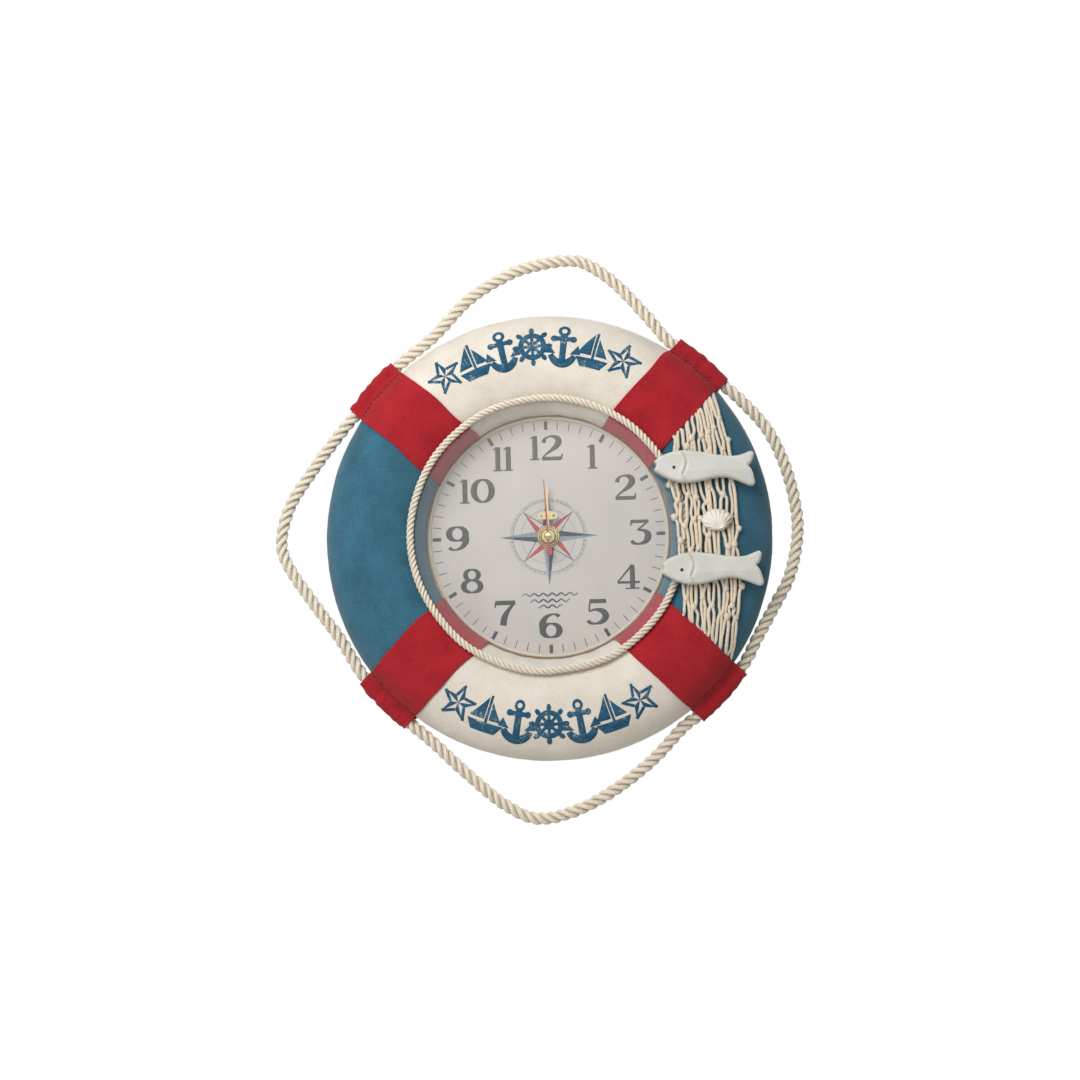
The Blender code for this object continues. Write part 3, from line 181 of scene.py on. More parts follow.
def addNode(tree, kind, inputs=None, stops=(), blend="LINEAR", out=0, **settings):
    # gives the node's output of that name or number, or all of them when out is None
    node = tree.nodes.new("ShaderNode" + kind)
    for key, value in settings.items():
        setattr(node, key, value)
    for key, value in (inputs or {}).items():
        if isinstance(value, bpy.types.NodeSocket):
            tree.links.new(value, node.inputs[key])
        else:
            node.inputs[key].default_value = value
    for k, (at, colour) in enumerate(stops):
        element = node.color_ramp.elements[k] if k < 2 else node.color_ramp.elements.new(at)
        element.position = at
        element.color = hexColour(colour)
    if stops:
        node.color_ramp.interpolation = blend
    return node.outputs[out] if out is not None and len(node.outputs) else node.outputs


def maths(tree, operation, *values):
    return addNode(tree, "Math", dict(enumerate(values)), operation=operation)


def noise(tree, place, scale, detail=2.0, **more):
    return addNode(tree, "TexNoise", {"Vector": place, "Scale": scale, "Detail": detail, **more})


def objectPlace(tree):
    return addNode(tree, "TexCoord", out="Object")


def startMaterial(name, **constants):
    material = bpy.data.materials.new(name)
    material.use_nodes = True
    tree = material.node_tree
    shader = tree.nodes["Principled BSDF"]
    for key, value in constants.items():
        shader.inputs[key.replace("_", " ")].default_value = value
    return material, tree


def dress(tree, shade, stops, height=None, strength=0.0, relief=0.0, blend="LINEAR"):
    # the shade picks the colour between the stops, and the height raises the surface by the relief
    shader = tree.nodes["Principled BSDF"]
    tree.links.new(addNode(tree, "ValToRGB", {0: shade}, stops, blend), shader.inputs["Base Color"])
    if height is not None:
        bump = addNode(tree, "Bump", {"Strength": strength, "Distance": relief * mm, "Height": height})
        tree.links.new(bump, shader.inputs["Normal"])


def mixOver(tree, share, other):  # another shader stands in for the surface by that share
    own = tree.nodes["Principled BSDF"].outputs[0]
    mix = addNode(tree, "MixShader", {0: share, 1: own, 2: other})
    tree.links.new(mix, tree.nodes["Material Output"].inputs[0])


def cloth(name, pale, dark, thread, roughness, strength, relief, sheen=0.2):
    # cotton cloth in plain weave, dull and soft: threads cross over and under, and the dye lies unevenly
    material, tree = startMaterial(
        name, Roughness=roughness, Sheen_Weight=sheen, Sheen_Roughness=0.5, Specular_IOR_Level=0.2)
    uv = addNode(tree, "UVMap")
    split = addNode(tree, "SeparateXYZ", {0: uv}, out=None)
    rate = turn / 2 / thread  # uv is in millimetres, and a sine has one thread in half its turn
    warp, weft = (maths(tree, "SINE", maths(tree, "MULTIPLY", split[k], rate)) for k in (0, 1))
    weave = maths(tree, "MULTIPLY", warp, weft)
    patches = noise(tree, uv, 0.055, 4.0, Roughness=0.6)
    slubs = noise(tree, uv, 0.75, 3.0, Roughness=0.7)
    shade = addNode(tree, "Mix", {0: 0.5, 2: patches, 3: slubs})
    height = addNode(tree, "Mix", {0: 0.45, 2: weave, 3: slubs})
    dress(tree, shade, [(0.36, dark), (0.62, pale)], height, strength, relief)
    return material


def spunCord(name, pale, dark, yarns, slant, relief):
    # spun cotton cord, dull and fibrous: the yarns run slantwise round each strand, and the grooves between
    # strands and the side facing the cloth are painted darker, as painted shade
    material, tree = startMaterial(
        name, Roughness=0.9, Sheen_Weight=0.3, Sheen_Roughness=0.5, Specular_IOR_Level=0.2)
    uv = addNode(tree, "UVMap")
    split = addNode(tree, "SeparateXYZ", {0: uv}, out=None)
    along = maths(tree, "MULTIPLY", split[0], slant)
    ridge = maths(tree, "SINE", maths(tree, "MULTIPLY_ADD", split[1], turn * yarns, along))
    fibres = noise(tree, uv, 1.3, 4.0, Roughness=0.7)
    paintedShadeAndTint = addNode(tree, "Attribute", out="Fac", attribute_name="paintedShadeAndTint")
    # painted shade: the attribute darkens the cord where it is high, mottled by the fibres
    shade = maths(tree, "MULTIPLY_ADD", paintedShadeAndTint, fibres, -0.03)
    height = addNode(tree, "Mix", {0: 0.4, 2: ridge, 3: fibres})
    dress(tree, shade, [(0.02, pale), (0.6, dark)], height, 0.6, relief)
    return material


def twoTone(name, pale, dark, scale, relief, strength=0.4, stretch=(1.0, 1.0, 1.0), **constants):
    # a surface whose colour drifts between two tones, with a fine relief of the same grain
    material, tree = startMaterial(name, **constants)
    scales = tuple(scale * k for k in stretch)
    grain = noise(tree, addNode(tree, "Mapping", {"Vector": objectPlace(tree), "Scale": scales}), 1.0, 3.0)
    dress(tree, grain, [(0.3, dark), (0.7, pale)], grain, strength, relief)
    return material


# ---- camera ----

view = {"azimuth": 3.0, "elevation": -5.0, "roll": 1.45, "distance": 1100.0, "across": 726.4,
        "aimX": -5.6, "aimZ": -2.4, "aimDepth": 24.2, "sensor": 36.0}


def addCamera():
    azimuth, elevation, roll = (math.radians(view[k]) for k in ("azimuth", "elevation", "roll"))
    back = Vector((math.sin(azimuth) * math.cos(elevation), -math.cos(azimuth) * math.cos(elevation),
                   math.sin(elevation)))
    right = Vector((0, 0, 1)).cross(back).normalized()
    up = back.cross(right)
    rolledRight = right * math.cos(roll) - up * math.sin(roll)
    rolledUp = up * math.cos(roll) + right * math.sin(roll)
    aim = Vector(onFace(0.0, view["aimDepth"], 0.0)) + (
        rolledRight * view["aimX"] + rolledUp * view["aimZ"]) * mm
    data = bpy.data.cameras.new("camera")
    data.sensor_width = view["sensor"]
    data.lens = view["sensor"] * view["distance"] / view["across"]
    camera = linked("camera", data)
    place = Matrix((rolledRight, rolledUp, back)).transposed().to_4x4()
    place.translation = aim + back * view["distance"] * mm
    camera.matrix_world = place
    bpy.context.scene.camera = camera


addCamera()
print("camera set")

# ---- ropes ----

ring = {"centre": 116.1, "halfWidth": 33.9, "middle": 24.2, "halfDepth": 25.3, "power": 2.1,
        "flatBack": 1.1}  # the section of the covered ring
grabRope = {
    "diameter": 8.4, "lay": 19.0, "around": 155.6, "step": 0.95, "sides": 14,
    # x and z along the rope, as shares of the radius at which it passes the sleeves
    "route": (
        (-0.7243, -0.6896), (-0.6228, -0.7828), (-0.5251, -0.8657), (-0.3631, -1.0186),
        (-0.2095, -1.1465), (-0.0694, -1.2050), (0.0970, -1.1710), (0.2648, -1.0842),
        (0.4248, -0.9640), (0.5521, -0.8348), (0.6266, -0.7796), (0.7352, -0.6780),
        (0.8271, -0.5623), (0.8875, -0.4524), (0.9666, -0.3162), (1.0315, -0.1941),
        (1.0688, -0.0289), (1.0643, 0.1099), (1.0270, 0.2763), (0.9569, 0.4357),
        (0.8445, 0.5707), (0.7661, 0.6427), (0.6626, 0.7487), (0.5443, 0.8387),
        (0.4486, 0.9569), (0.3201, 1.1009), (0.1979, 1.1909), (0.1163, 1.2095),
        (-0.0090, 1.1960), (-0.1427, 1.1581), (-0.3194, 1.0546), (-0.4807, 0.8933),
        (-0.6228, 0.7828), (-0.7314, 0.6819), (-0.8239, 0.5662), (-0.8959, 0.4826),
        (-1.0161, 0.3278), (-1.1195, 0.1735), (-1.1626, 0.0276), (-1.1427, -0.0810),
        (-1.0469, -0.2320), (-0.9190, -0.4094), (-0.8612, -0.5051), (-0.8239, -0.5662),
        (-0.7384, -0.6742),
    ),
}


def pathLengths(points):
    return np.append(0, np.cumsum(np.linalg.norm(np.diff(points, axis=0), axis=1)))


def curveThrough(points, step, closed=False):
    # Catmull-Rom through the points: half of 2b + (c-a)t + (2a-5b+4c-d)t2 + (3b-a-3c+d)t3, at even steps
    points = np.asarray(points, float)
    count, width = points.shape
    at = np.arange(count if closed else count - 1)
    pick = (lambda k: k % count) if closed else (lambda k: np.clip(k, 0, count - 1))
    a, b, c, d = (points[pick(at + k)][:, None, :] for k in (-1, 0, 1, 2))
    t = np.linspace(0, 1, 24, endpoint=False)[None, :, None]
    dense = b + (c - a) * t / 2 + (2 * a - 5 * b + 4 * c - d) * t**2 / 2 + (3 * b - a - 3 * c + d) * t**3 / 2
    dense = np.vstack([dense.reshape(-1, width), points[:1] if closed else points[-1:]])
    lengths = pathLengths(dense)
    even = np.linspace(0, lengths[-1], max(round(lengths[-1] / step), 2) + 1)
    return np.stack([np.interp(even, lengths, dense[:, k]) for k in range(width)], axis=1), even


def tangents(path, closed):
    if closed:
        return unit(np.roll(path, -1, axis=0) - np.roll(path, 1, axis=0))
    return unit(np.gradient(path, axis=0))


def frameAlong(path, closed=False):  # side and lift at each point of a path close to the face
    tangent = tangents(path, closed)
    side = unit(np.cross(tangent, np.array([0.0, 1.0, 0.0])))
    return side, np.cross(side, tangent)


def tubeRings(centre, side, lift, radius, sides):
    # point v of each ring = centre + radius (side cos v + lift sin v)
    v = circle(sides)
    spokes = side[:, None] * np.cos(v)[None, :, None] + lift[:, None] * np.sin(v)[None, :, None]
    return centre[:, None] + np.reshape(radius, (-1, 1, 1)) * spokes


def shutEnds(centre, rings):  # each end of a tube is drawn in to its centre
    ends = [np.repeat(centre[k, None, None], rings.shape[1], axis=1) for k in (0, -1)]
    return np.concatenate([ends[0], rings, ends[1]])


# how far strands are pressed together, how unevenly they lie and swell, and the steps between strands
laid = {"strands": 3, "pressed": 1.06, "uneven": 0.12, "swell": 0.03, "waves": (5, 30.0, 90.0),
        "uvStep": 300, "waveStep": 40}


def laidRope(name, path, lengths, diameter, lay, sides, closed=False, seed=1):
    # strand k's centre = path + out (side cos w + lift sin w), w = turn (length / lay + k / strands), and the
    # strand's own radius swells a little; path columns are x, depth and z
    side, lift = frameAlong(path, closed)
    strands = laid["strands"]
    thick = diameter / 2 / (1 + 1 / math.sin(math.pi / strands)) * laid["pressed"]
    out = diameter / 2 - thick
    loose = waves(seed, *laid["waves"])
    calm = np.sin(math.pi * lengths / lengths[-1]) ** 0.5 if closed else 1.0  # a ring's ends meet in line
    meshes = []
    for strand in range(strands):
        angle = turn * (lengths / lay + strand / strands) + laid["uneven"] * calm * loose(lengths)
        centre = path + out * (side * np.cos(angle)[:, None] + lift * np.sin(angle)[:, None])
        swell = thick * (1 + laid["swell"] * calm * loose(lengths * 1.7 + laid["waveStep"] * strand))
        points = tubeRings(centre, side, lift, swell, sides)
        # painted shade: the nearer a point lies to the rope's middle, down between the strands, the darker it
        # is painted
        paintedShadeAndTint = np.clip((diameter / 2 - np.linalg.norm(points - path[:, None], axis=2)) / thick, 0, 1.2)
        at = np.linspace(lengths[0], lengths[-1], len(points) + 1) if closed else capped(lengths)
        if not closed:
            points, paintedShadeAndTint = shutEnds(centre, points), capped(paintedShadeAndTint)
        uv = uvGrid(at + laid["uvStep"] * strand, np.arange(sides + 1) / sides)
        uv[..., 1] -= (at / lay)[:, None]
        meshes.append(gridSurface(name, allOnFace(points), uv, closed, True, paintedShadeAndTint))
    return closeMesh(joinMeshes(name, meshes))


def addGrabRope():
    route = np.array(grabRope["route"]) * grabRope["around"]
    flat, lengths = curveThrough(route, grabRope["step"])
    path = np.insert(flat, 1, ring["middle"], axis=1)
    mesh = laidRope("threeStrandRope", path, lengths, *(grabRope[k] for k in ("diameter", "lay", "sides")))
    cotton = spunCord("threeStrandCottonRope", "#E8DFCD", "#B7A689", 7.0, 0.9, 0.14)
    piece = addPiece("threeStrandRope", mesh, "clock", cotton, ["grab_rope"])
    places = allOnFace(path).tolist()
    print("grab rope:", round(lengths[-1]), "mm")


addGrabRope()

window = {"ropeRadius": 90.4, "ropeDepth": 46.5, "ropeDiameter": 5.1}
# the node, radius, depth, diameter, lay, steps a lay, sides, how far it strays, seed
rings = {"windowRope": ("rim_rope", window["ropeRadius"], window["ropeDepth"], window["ropeDiameter"],
                        11.0, 14, 10, 0.35, 11),
         "dialCord": ("dial_cord", 80.2, 23.3, 2.1, 4.4, 10, 6, 0.12, 12)}
trimCotton = spunCord("twistedCottonCord", "#E9E0CE", "#C4B59A", 5.0, 0.9, 0.15)


def addRopeRing(name, node, radius, depth, diameter, lay, steps, sides, wobble, seed):
    # the path is a circle of radius r + wobble * waves, and a whole number of lays goes once round
    lays = round(turn * radius / lay)
    w = circle(lays * steps)
    ragged = waves(seed, 4, 0.5, 1.6)
    fade = np.sin(w / 2) ** 0.5  # the two ends of the cord meet in line
    r = radius + wobble * ragged(w) * fade
    path = np.stack([r * np.sin(w), depth + 0.3 * wobble * ragged(w + 9) * fade, r * np.cos(w)], axis=1)
    mesh = laidRope(name, path, w * lays * lay / turn, diameter, lay, sides, closed=True, seed=0)
    addPiece(name, mesh, "clock", trimCotton, [node])


for name, values in rings.items():
    addRopeRing(name, *values)
print("rope rings made")

# ---- cloth covers ----

covers = {
    "thickness": 0.8, "endGap": 1.2, "seamGap": 0.5, "wrinkle": 0.22, "fineShare": 0.45, "shear": 0.35,
    "grid": (121, 129), "smooth": (3.0, 11.0),  # the depths between which the wrinkles set in
    # steps to the seed, counts, shortest and longest waves of the low folds and the fine ones
    "folds": ((0, 6, 14.0, 46.0), (50, 7, 5.0, 12.0)),
    "bandAngles": {"upper_right": 47.1, "upper_left": 138.3, "lower_left": 224.3, "lower_right": 315.9},
    # the node, the bands before and after it, the colour and the seed of its wrinkles
    "sheets": {"whiteCoverTop": ("canvas_top", "upper_right", "upper_left", "white", 20),
               "blueCoverLeft": ("canvas_left", "upper_left", "lower_left", "blue", 21),
               "whiteCoverBottom": ("canvas_bottom", "lower_left", "lower_right", "white", 22),
               "blueCoverRight": ("canvas_right", "lower_right", "upper_right", "blue", 23)},
}
canvas = {"white": cloth("undyedCottonCanvas", "#E8E1D5", "#D6CDBE", 0.9, 0.95, 0.6, 0.3),
          "blue": cloth("blueDyedCottonCanvas", "#3C7086", "#2F5768", 0.9, 0.95, 0.6, 0.3)}
redCotton = cloth("redDyedCottonCloth", "#AE2830", "#931D25", 0.7, 0.9, 0.5, 0.22, 0.06)


def polar(radius, depth, angle):  # onFace by radius and by angle from the right of the face
    return onFace(radius * np.cos(angle), depth, radius * np.sin(angle))


def ringSection(angle, offset):
    # radius = centre + sign|cos|^(2/n) (half width + offset), depth = middle + sign|sin|^(2/n) (half depth +
    # offset) but never behind the flat back; the angle turns from the outer side towards the front
    c, s = (np.sign(share) * np.abs(share) ** (2 / ring["power"]) for share in (np.cos(angle), np.sin(angle)))
    depth = ring["middle"] + s * (ring["halfDepth"] + offset)
    return ring["centre"] + c * (ring["halfWidth"] + offset), np.maximum(depth, ring["flatBack"] - offset)


def ringFront(radius, offset):
    # depth = middle + (half depth + offset) (1 - share^n)^(1/n), share = distance from the section's centre
    share = np.minimum(np.abs(radius - ring["centre"]) / (ring["halfWidth"] + offset), 1.0)
    return ring["middle"] + (ring["halfDepth"] + offset) * (1 - share ** ring["power"]) ** (1 / ring["power"])


def faceNormals(section):  # outward normals of a path round the section, in radius and depth
    slopes = unit(np.gradient(section, axis=0))
    return slopes[:, 1], -slopes[:, 0]


sectionAngles = np.linspace(-math.pi / 2, 1.5 * math.pi, 257)
section = np.stack(ringSection(sectionAngles, 0.0), axis=1)
sectionFront = (sectionAngles > 0.02) & (sectionAngles < math.pi - 0.02)
frontRadius, frontLengths = section[sectionFront, 0][::-1], pathLengths(section)[sectionFront][::-1]


def canvasLift(seed, angle, radius, across=None):
    # wrinkles: low folds that run across the ring, deeper where it turns in to the window; on the front the
    # radius gives the distance round the section
    if across is None:
        across = np.interp(radius, frontRadius, frontLengths)
    arc = angle * ring["centre"]
    low, fine = (waves(seed + step, *rest) for step, *rest in covers["folds"])
    inward = 0.35 + 0.65 * np.clip((ring["centre"] - radius) / ring["halfWidth"], 0, 1)
    slant = covers["shear"] * across
    lift = low(arc + slant) + covers["fineShare"] * fine(arc - slant)
    return covers["wrinkle"] * (lift * inward - 1.0)


def faceOutwards(mesh, polygon, corner, angle):  # away from the middle of the ring's section
    middle = polar(ring["centre"], ring["middle"], angle)
    if mesh.polygons[polygon].normal.dot(Vector(corner - middle)) < 0:
        mesh.flip_normals()


def gapBetween(first, last):  # the angles of two bands, in degrees that go on past a full turn
    start, end = covers["bandAngles"][first], covers["bandAngles"][last]
    return start, end + 360 * (end < start)


def addCanvas(name, node, first, last, colour, seed):
    # once round the section, from one side of the seam at the back to the other
    start, end = gapBetween(first, last)
    room = math.degrees(covers["endGap"] / ring["centre"] / 2)
    rows, columns = covers["grid"]
    w = np.radians(np.linspace(start + room, end - room, rows))
    seam = covers["seamGap"] / ring["halfWidth"] / 2
    angles = np.linspace(-turn / 4 + seam, turn * 3 / 4 - seam, columns)
    cut = np.stack(ringSection(angles, 0.0), axis=1)
    radius, depth = cut.T
    across = pathLengths(cut)
    lift = canvasLift(seed, w[:, None], radius, across + seam * ring["halfWidth"])
    lift = lift * ramp(depth, *covers["smooth"])
    normalR, normalD = faceNormals(cut)
    points = polar(radius + lift * normalR, depth + lift * normalD, w[:, None])
    mesh = gridSurface(node, points, uvGrid(w * ring["centre"], across))
    faceOutwards(mesh, 0, points[0, 0], w[0])
    piece = addPiece(name, mesh, "clock", canvas[colour], [node],
                     thickness=covers["thickness"])


for name, values in covers["sheets"].items():
    addCanvas(name, *values)

band = {"thickness": 0.8, "width": 42.0, "offset": 1.1, "sleeve": 5.8, "opening": 112.0,
        "lap": (-28.0, -32.0, -36.0), "lapOffset": 2.1, "rope": 155.6, "pucker": 0.3, "stitchAt": 149.5,
        "stitchDent": 0.75, "stitchReach": 1.6, "ragged": 0.45, "crumple": 0.10,
        "behind": (-22.5, -337.5, 113), "steps": (1.1, 41, 57),
        # between which lengths, radii and depths the front, the gathers and the crumples set in
        "front": (150.0, 170.0), "onRope": (144.0, 150.0), "smooth": (4.0, 12.0),
        # steps to the seed, counts, shortest and longest waves of the gathers, the crumples and the drift
        "waves": ((0, 7, 5.5, 19.0), (30, 6, 9.0, 30.0), (60, 4, 25, 70))}


def bandPath():
    # radius and depth from behind the outer side, round the back, the window's wall and the front, then
    # round the rope and over the band's own start; with the lengths along it and its outward normals
    step, ropeSteps, _ = band["steps"]
    rope = np.radians(np.linspace(band["opening"], -band["opening"], ropeSteps))
    sleeve = band["rope"] + band["sleeve"] * np.cos(rope), ring["middle"] + band["sleeve"] * np.sin(rope)
    sections = (ringSection(np.radians(np.linspace(*band["behind"])), band["offset"]), sleeve,
                ringSection(np.radians(band["lap"]), band["lapOffset"]))
    path, lengths = curveThrough(np.hstack(sections).T, step)
    for _ in range(3):  # the cloth is too stiff for a sharp fold where it meets the rope
        path[1:-1] = path[1:-1] / 2 + (path[2:] + path[:-2]) / 4
    return path, lengths, -np.stack(faceNormals(path), axis=1)


def acrossBand(radius, depth, side, angle):  # the side is measured from the band's middle line
    reach, c, s = np.sqrt(radius**2 - side**2), math.cos(angle), math.sin(angle)
    return np.stack(np.broadcast_arrays(reach * c - side * s, depth, reach * s + side * c), axis=-1)


def addBand(place, angle, seed):
    angle = math.radians(angle)
    path, lengths, out = bandPath()
    radius, depth, far = path[:, :1], path[:, 1:], lengths[:, None]
    lateral = np.linspace(-band["width"] / 2, band["width"] / 2, band["steps"][2])
    # gathers: the cloth is pulled to the stitches, so short folds fan out from them over rope and ring
    gather, crumple, drift = (waves(seed + step, *rest) for step, *rest in band["waves"])
    front = ramp(far, *band["front"])
    onRope = ramp(radius, *band["onRope"]) * front
    fold = gather(lateral * (1 + 0.10 * np.sin(far / 7)) + 0.9 * drift(lengths)[:, None])
    soft = crumple(lateral + 0.5 * far) + crumple(far * 0.8 - lateral)
    lift = band["pucker"] * onRope * (fold - 0.4)
    lift = lift + band["crumple"] * (soft - 1.0) * ramp(depth, *band["smooth"])
    stitched = np.exp(-((radius - band["stitchAt"]) / band["stitchReach"]) ** 2)
    lift = lift - band["stitchDent"] * stitched * front * (depth > ring["middle"])
    edge = band["ragged"] * drift(lengths)[:, None] * np.abs(lateral / lateral[-1]) ** 3
    points = allOnFace(acrossBand(radius + lift * out[:, :1], depth + lift * out[:, 1:],
                                  lateral + edge * (1 - 0.5 * onRope), angle))
    mesh = gridSurface("redBand", points, uvGrid(lengths, lateral))
    row, column = len(path) // 2, len(lateral) // 2
    faceOutwards(mesh, row * (len(lateral) - 1) + column, points[row, column], angle)
    name = "redBand" + place.title().replace("_", "")
    piece = addPiece(name, mesh, "clock", redCotton, ["band_" + place],
                     thickness=band["thickness"])
    return lengths[-1]


for number, place in enumerate(covers["bandAngles"].items()):
    bandLength = addBand(*place, 70 + number)
print("red bands made, flat", band["width"], "x", round(bandLength), "mm")

# ---- prints: ribbons and facets laid on a surface ----


def ribbon(points, closed=False, step=1.0):
    # points are x, z and width; the ribbon's edges are path +- side * width / 2
    rows, _ = curveThrough(points, step, closed)
    rows = rows[:-1] if closed else rows
    tangent = tangents(rows[:, :2], closed)
    side = np.stack([-tangent[:, 1], tangent[:, 0]], axis=1)
    share = np.linspace(-0.5, 0.5, 4)
    grid = rows[:, None, :2] + side[:, None, :] * (rows[:, 2:3] * share)[..., None]
    return np.concatenate([grid, grid[:1]]) if closed else grid


def bar(x0, z0, x1, z1, width):
    return ribbon([(x0, z0, width), ((x0 + x1) / 2, (z0 + z1) / 2, width), (x1, z1, width)])


def oval(x, z, across, high, sideWidth, endWidth, count=28):
    # width = end + (side - end) |cos v|, so that upright strokes are heavy and level ones fine
    v = circle(count)
    width = endWidth + (sideWidth - endWidth) * np.abs(np.cos(v)) ** 1.3
    return ribbon(np.stack([x + across * np.cos(v), z + high * np.sin(v), width], axis=1), True)


def facet(a, b, c, steps=7):
    # a triangle as a grid: the row from a to b shrinks to the corner c
    share = np.linspace(0, 1, steps)[:, None, None]
    a, b, c = (np.asarray(p, float) for p in (a, b, c))
    return (a + (b - a) * np.linspace(0, 1, steps)[:, None]) * (1 - share) + c * share


def disc(x, z, radius, rings=3, count=24):
    v = turn * np.arange(count + 1) / count
    r = radius * np.linspace(0, 1, rings + 1)[:, None]
    return np.stack([x + r * np.cos(v), z + r * np.sin(v)], axis=-1)


def printed(name, grids, lay, thickness):
    # lay turns x and z into points of the surface; each shape is a closed wafer of the print's thickness,
    # a hair above the last so that where strokes cross one of them is on top
    meshes = []
    for order, grid in enumerate(grids):
        top = lay(grid[..., 0], grid[..., 1], thickness * (1 + 0.12 * (order % 6)))
        low = lay(grid[..., 0], grid[..., 1], 0.0)
        walled, under = np.concatenate([low[:1], top, low[-1:]]), capped(low)
        both = np.concatenate([under[:, :1], walled, under[:, ::-1]], axis=1)
        meshes.append(closeMesh(gridSurface(name, both), 0.004))
    return joinMeshes(name, meshes)


def around(angle, radius):  # x and z at an angle from twelve o'clock
    return radius * math.sin(angle), radius * math.cos(angle)


# ---- the row of painted motifs on the white cloth ----

motifs = {"radius": 125.0, "thickness": 0.12, "pitch": 20.6, "scale": 1.03, "starSize": 11.8,
          "above": 0.02,  # clear of the cloth, so that the two don't lie in one plane
          # the angle of the middle, which way is up, and the cover below
          "rows": {"motifsTop": (92.9, 1, "whiteCoverTop"), "motifsBottom": (269.3, -1, "whiteCoverBottom")}}
print("laying the motifs")


def star(size):
    tips = [around(turn * k / 5, size) for k in range(5)]
    notches = [around(turn * (k + 0.5) / 5, 0.42 * size) for k in range(5)]
    return [facet((0.0, 0.0), *pair) for pair in zip(tips, notches)] + [
        bar(*tips[k], *notches[k - 1], 1.9) for k in range(5)]


def boat():
    a, b, c, d = (-11.2, -5.2), (11.2, -5.2), (7.0, -11.4), (-7.4, -11.4)
    return [facet(a, b, c), facet(a, c, d), facet((-1.2, 11.6), (-1.2, -3.2), (-10.6, -3.2)),
            facet((1.9, 8.6), (1.9, -3.2), (9.6, -3.2)), bar(0.3, 12.6, 0.3, -5.6, 1.7)]


def anchor():
    arms = np.radians(np.linspace(-160, -20, 15))
    c, s = np.cos(arms), np.sin(arms)
    curve = np.stack([8.6 * c, -2.6 + 8.8 * s, 2.6 + 2.8 * np.abs(s)], axis=1)
    return [oval(0.0, 10.6, 2.7, 2.7, 2.0, 2.0), bar(0.0, 8.4, 0.0, -10.8, 4.2),
            bar(-5.6, 5.2, 5.6, 5.2, 3.0), disc(-6.0, 5.2, 2.1), disc(6.0, 5.2, 2.1), ribbon(curve),
            facet((-11.9, -4.4), (-4.8, -5.0), (-9.7, 1.4)), facet((4.8, -5.0), (11.9, -4.4), (9.7, 1.4))]


def helm():
    spoke = np.array([(2.0, 2.0), (6.5, 2.0), (8.6, 1.9), (10.6, 3.3), (12.8, 1.8)])  # radius and width
    return [oval(0.0, 0.0, 7.4, 7.4, 3.3, 3.3), disc(0.0, 0.0, 3.4)] + [
        ribbon(np.stack([spoke[:, 0] * math.cos(a), spoke[:, 0] * math.sin(a), spoke[:, 1]], axis=1))
        for a in circle(8)]


def wornInk(name, dark, pale, cloth):
    # screen ink rubbed into coarse canvas: flat colour, dull, with threads of bare cloth showing through
    material, tree = startMaterial(name, Roughness=0.85, Specular_IOR_Level=0.25)
    place = objectPlace(tree)
    grain = noise(tree, place, 900.0, 3.0, Roughness=0.7)
    shade = addNode(tree, "Mix", {0: 0.4, 2: grain, 3: noise(tree, place, 120.0, 3.0)})
    dress(tree, shade, [(0.38, dark), (0.58, pale), (0.67, cloth)], grain, 0.5, 0.2)
    return material


motifInk = wornInk("rubbedBlueInk", "#1B4662", "#34617B", "#C3BCAE")


def addMotifs(name, middle, outwards, cover):
    # x runs round the ring and z across it: angle = middle -+ x / radius, r = radius +- z
    row = [star(motifs["starSize"]), boat(), anchor(), helm(), anchor(), boat(), star(motifs["starSize"])]
    grids = [shape * motifs["scale"] + np.array([(k - 3) * motifs["pitch"], 0.0])
             for k, shapes in enumerate(row) for shape in shapes]
    seed = covers["sheets"][cover][-1]

    def lay(x, z, up):
        angle = math.radians(middle) - outwards * x / motifs["radius"]
        r = motifs["radius"] + outwards * z
        return polar(r, ringFront(r, 0.0) + canvasLift(seed, angle, r) + motifs["above"] + up, angle)

    addPiece(name, printed(name, grids, lay, motifs["thickness"]), "clock", motifInk)


for name, values in motifs["rows"].items():
    addMotifs(name, *values)

# ---- net ----

net = {
    "cord": 2.25, "meshesAcross": 7, "rows": 8, "knot": (2.1, 2.3), "flat": (46.0, 160.0),
    "spread": 0.22, "pinch": 0.55, "dive": 1.9, "diveShare": 0.035, "clear": 0.15,
    "jitter": (0.02, 0.022, 0.25),  # as shares of the width and the height, and in millimetres forward
    "left": ((0.584, -0.415), (0.582, -0.250), (0.570, -0.122), (0.572, -0.039), (0.560, 0.034),
             (0.560, 0.108), (0.539, 0.209), (0.567, 0.355)),
    "right": ((0.786, -0.585), (0.809, -0.522), (0.826, -0.404), (0.843, -0.266), (0.843, -0.124),
              (0.838, 0.008), (0.839, 0.136), (0.818, 0.319), (0.810, 0.375), (0.786, 0.467),
              (0.762, 0.568), (0.750, 0.620)),
    "ring": 150.0, "margin": 20.6,
}


def leaning(x, z, angle):  # x and z turned by an angle
    return x * math.cos(angle) - z * math.sin(angle), x * math.sin(angle) + z * math.cos(angle)


def netPoint(acrossShare, alongShare):
    # the net runs between the two right bands and between its own two edges
    left, right = (np.array(net[side]) * net["ring"] for side in ("left", "right"))
    low, high = (math.radians(covers["bandAngles"][k]) for k in ("lower_right", "upper_right"))
    rise = np.zeros(np.broadcast(acrossShare, alongShare).shape)
    for _ in range(12):
        a, b = (np.interp(rise, edge[:, 1], edge[:, 0]) for edge in (left, right))
        across = a + (b - a) * acrossShare
        bottom = (net["margin"] + across * math.sin(low)) / math.cos(low)
        top = (across * math.sin(high) - net["margin"]) / math.cos(high)
        rise = bottom + (top - bottom) * alongShare
    return across, rise


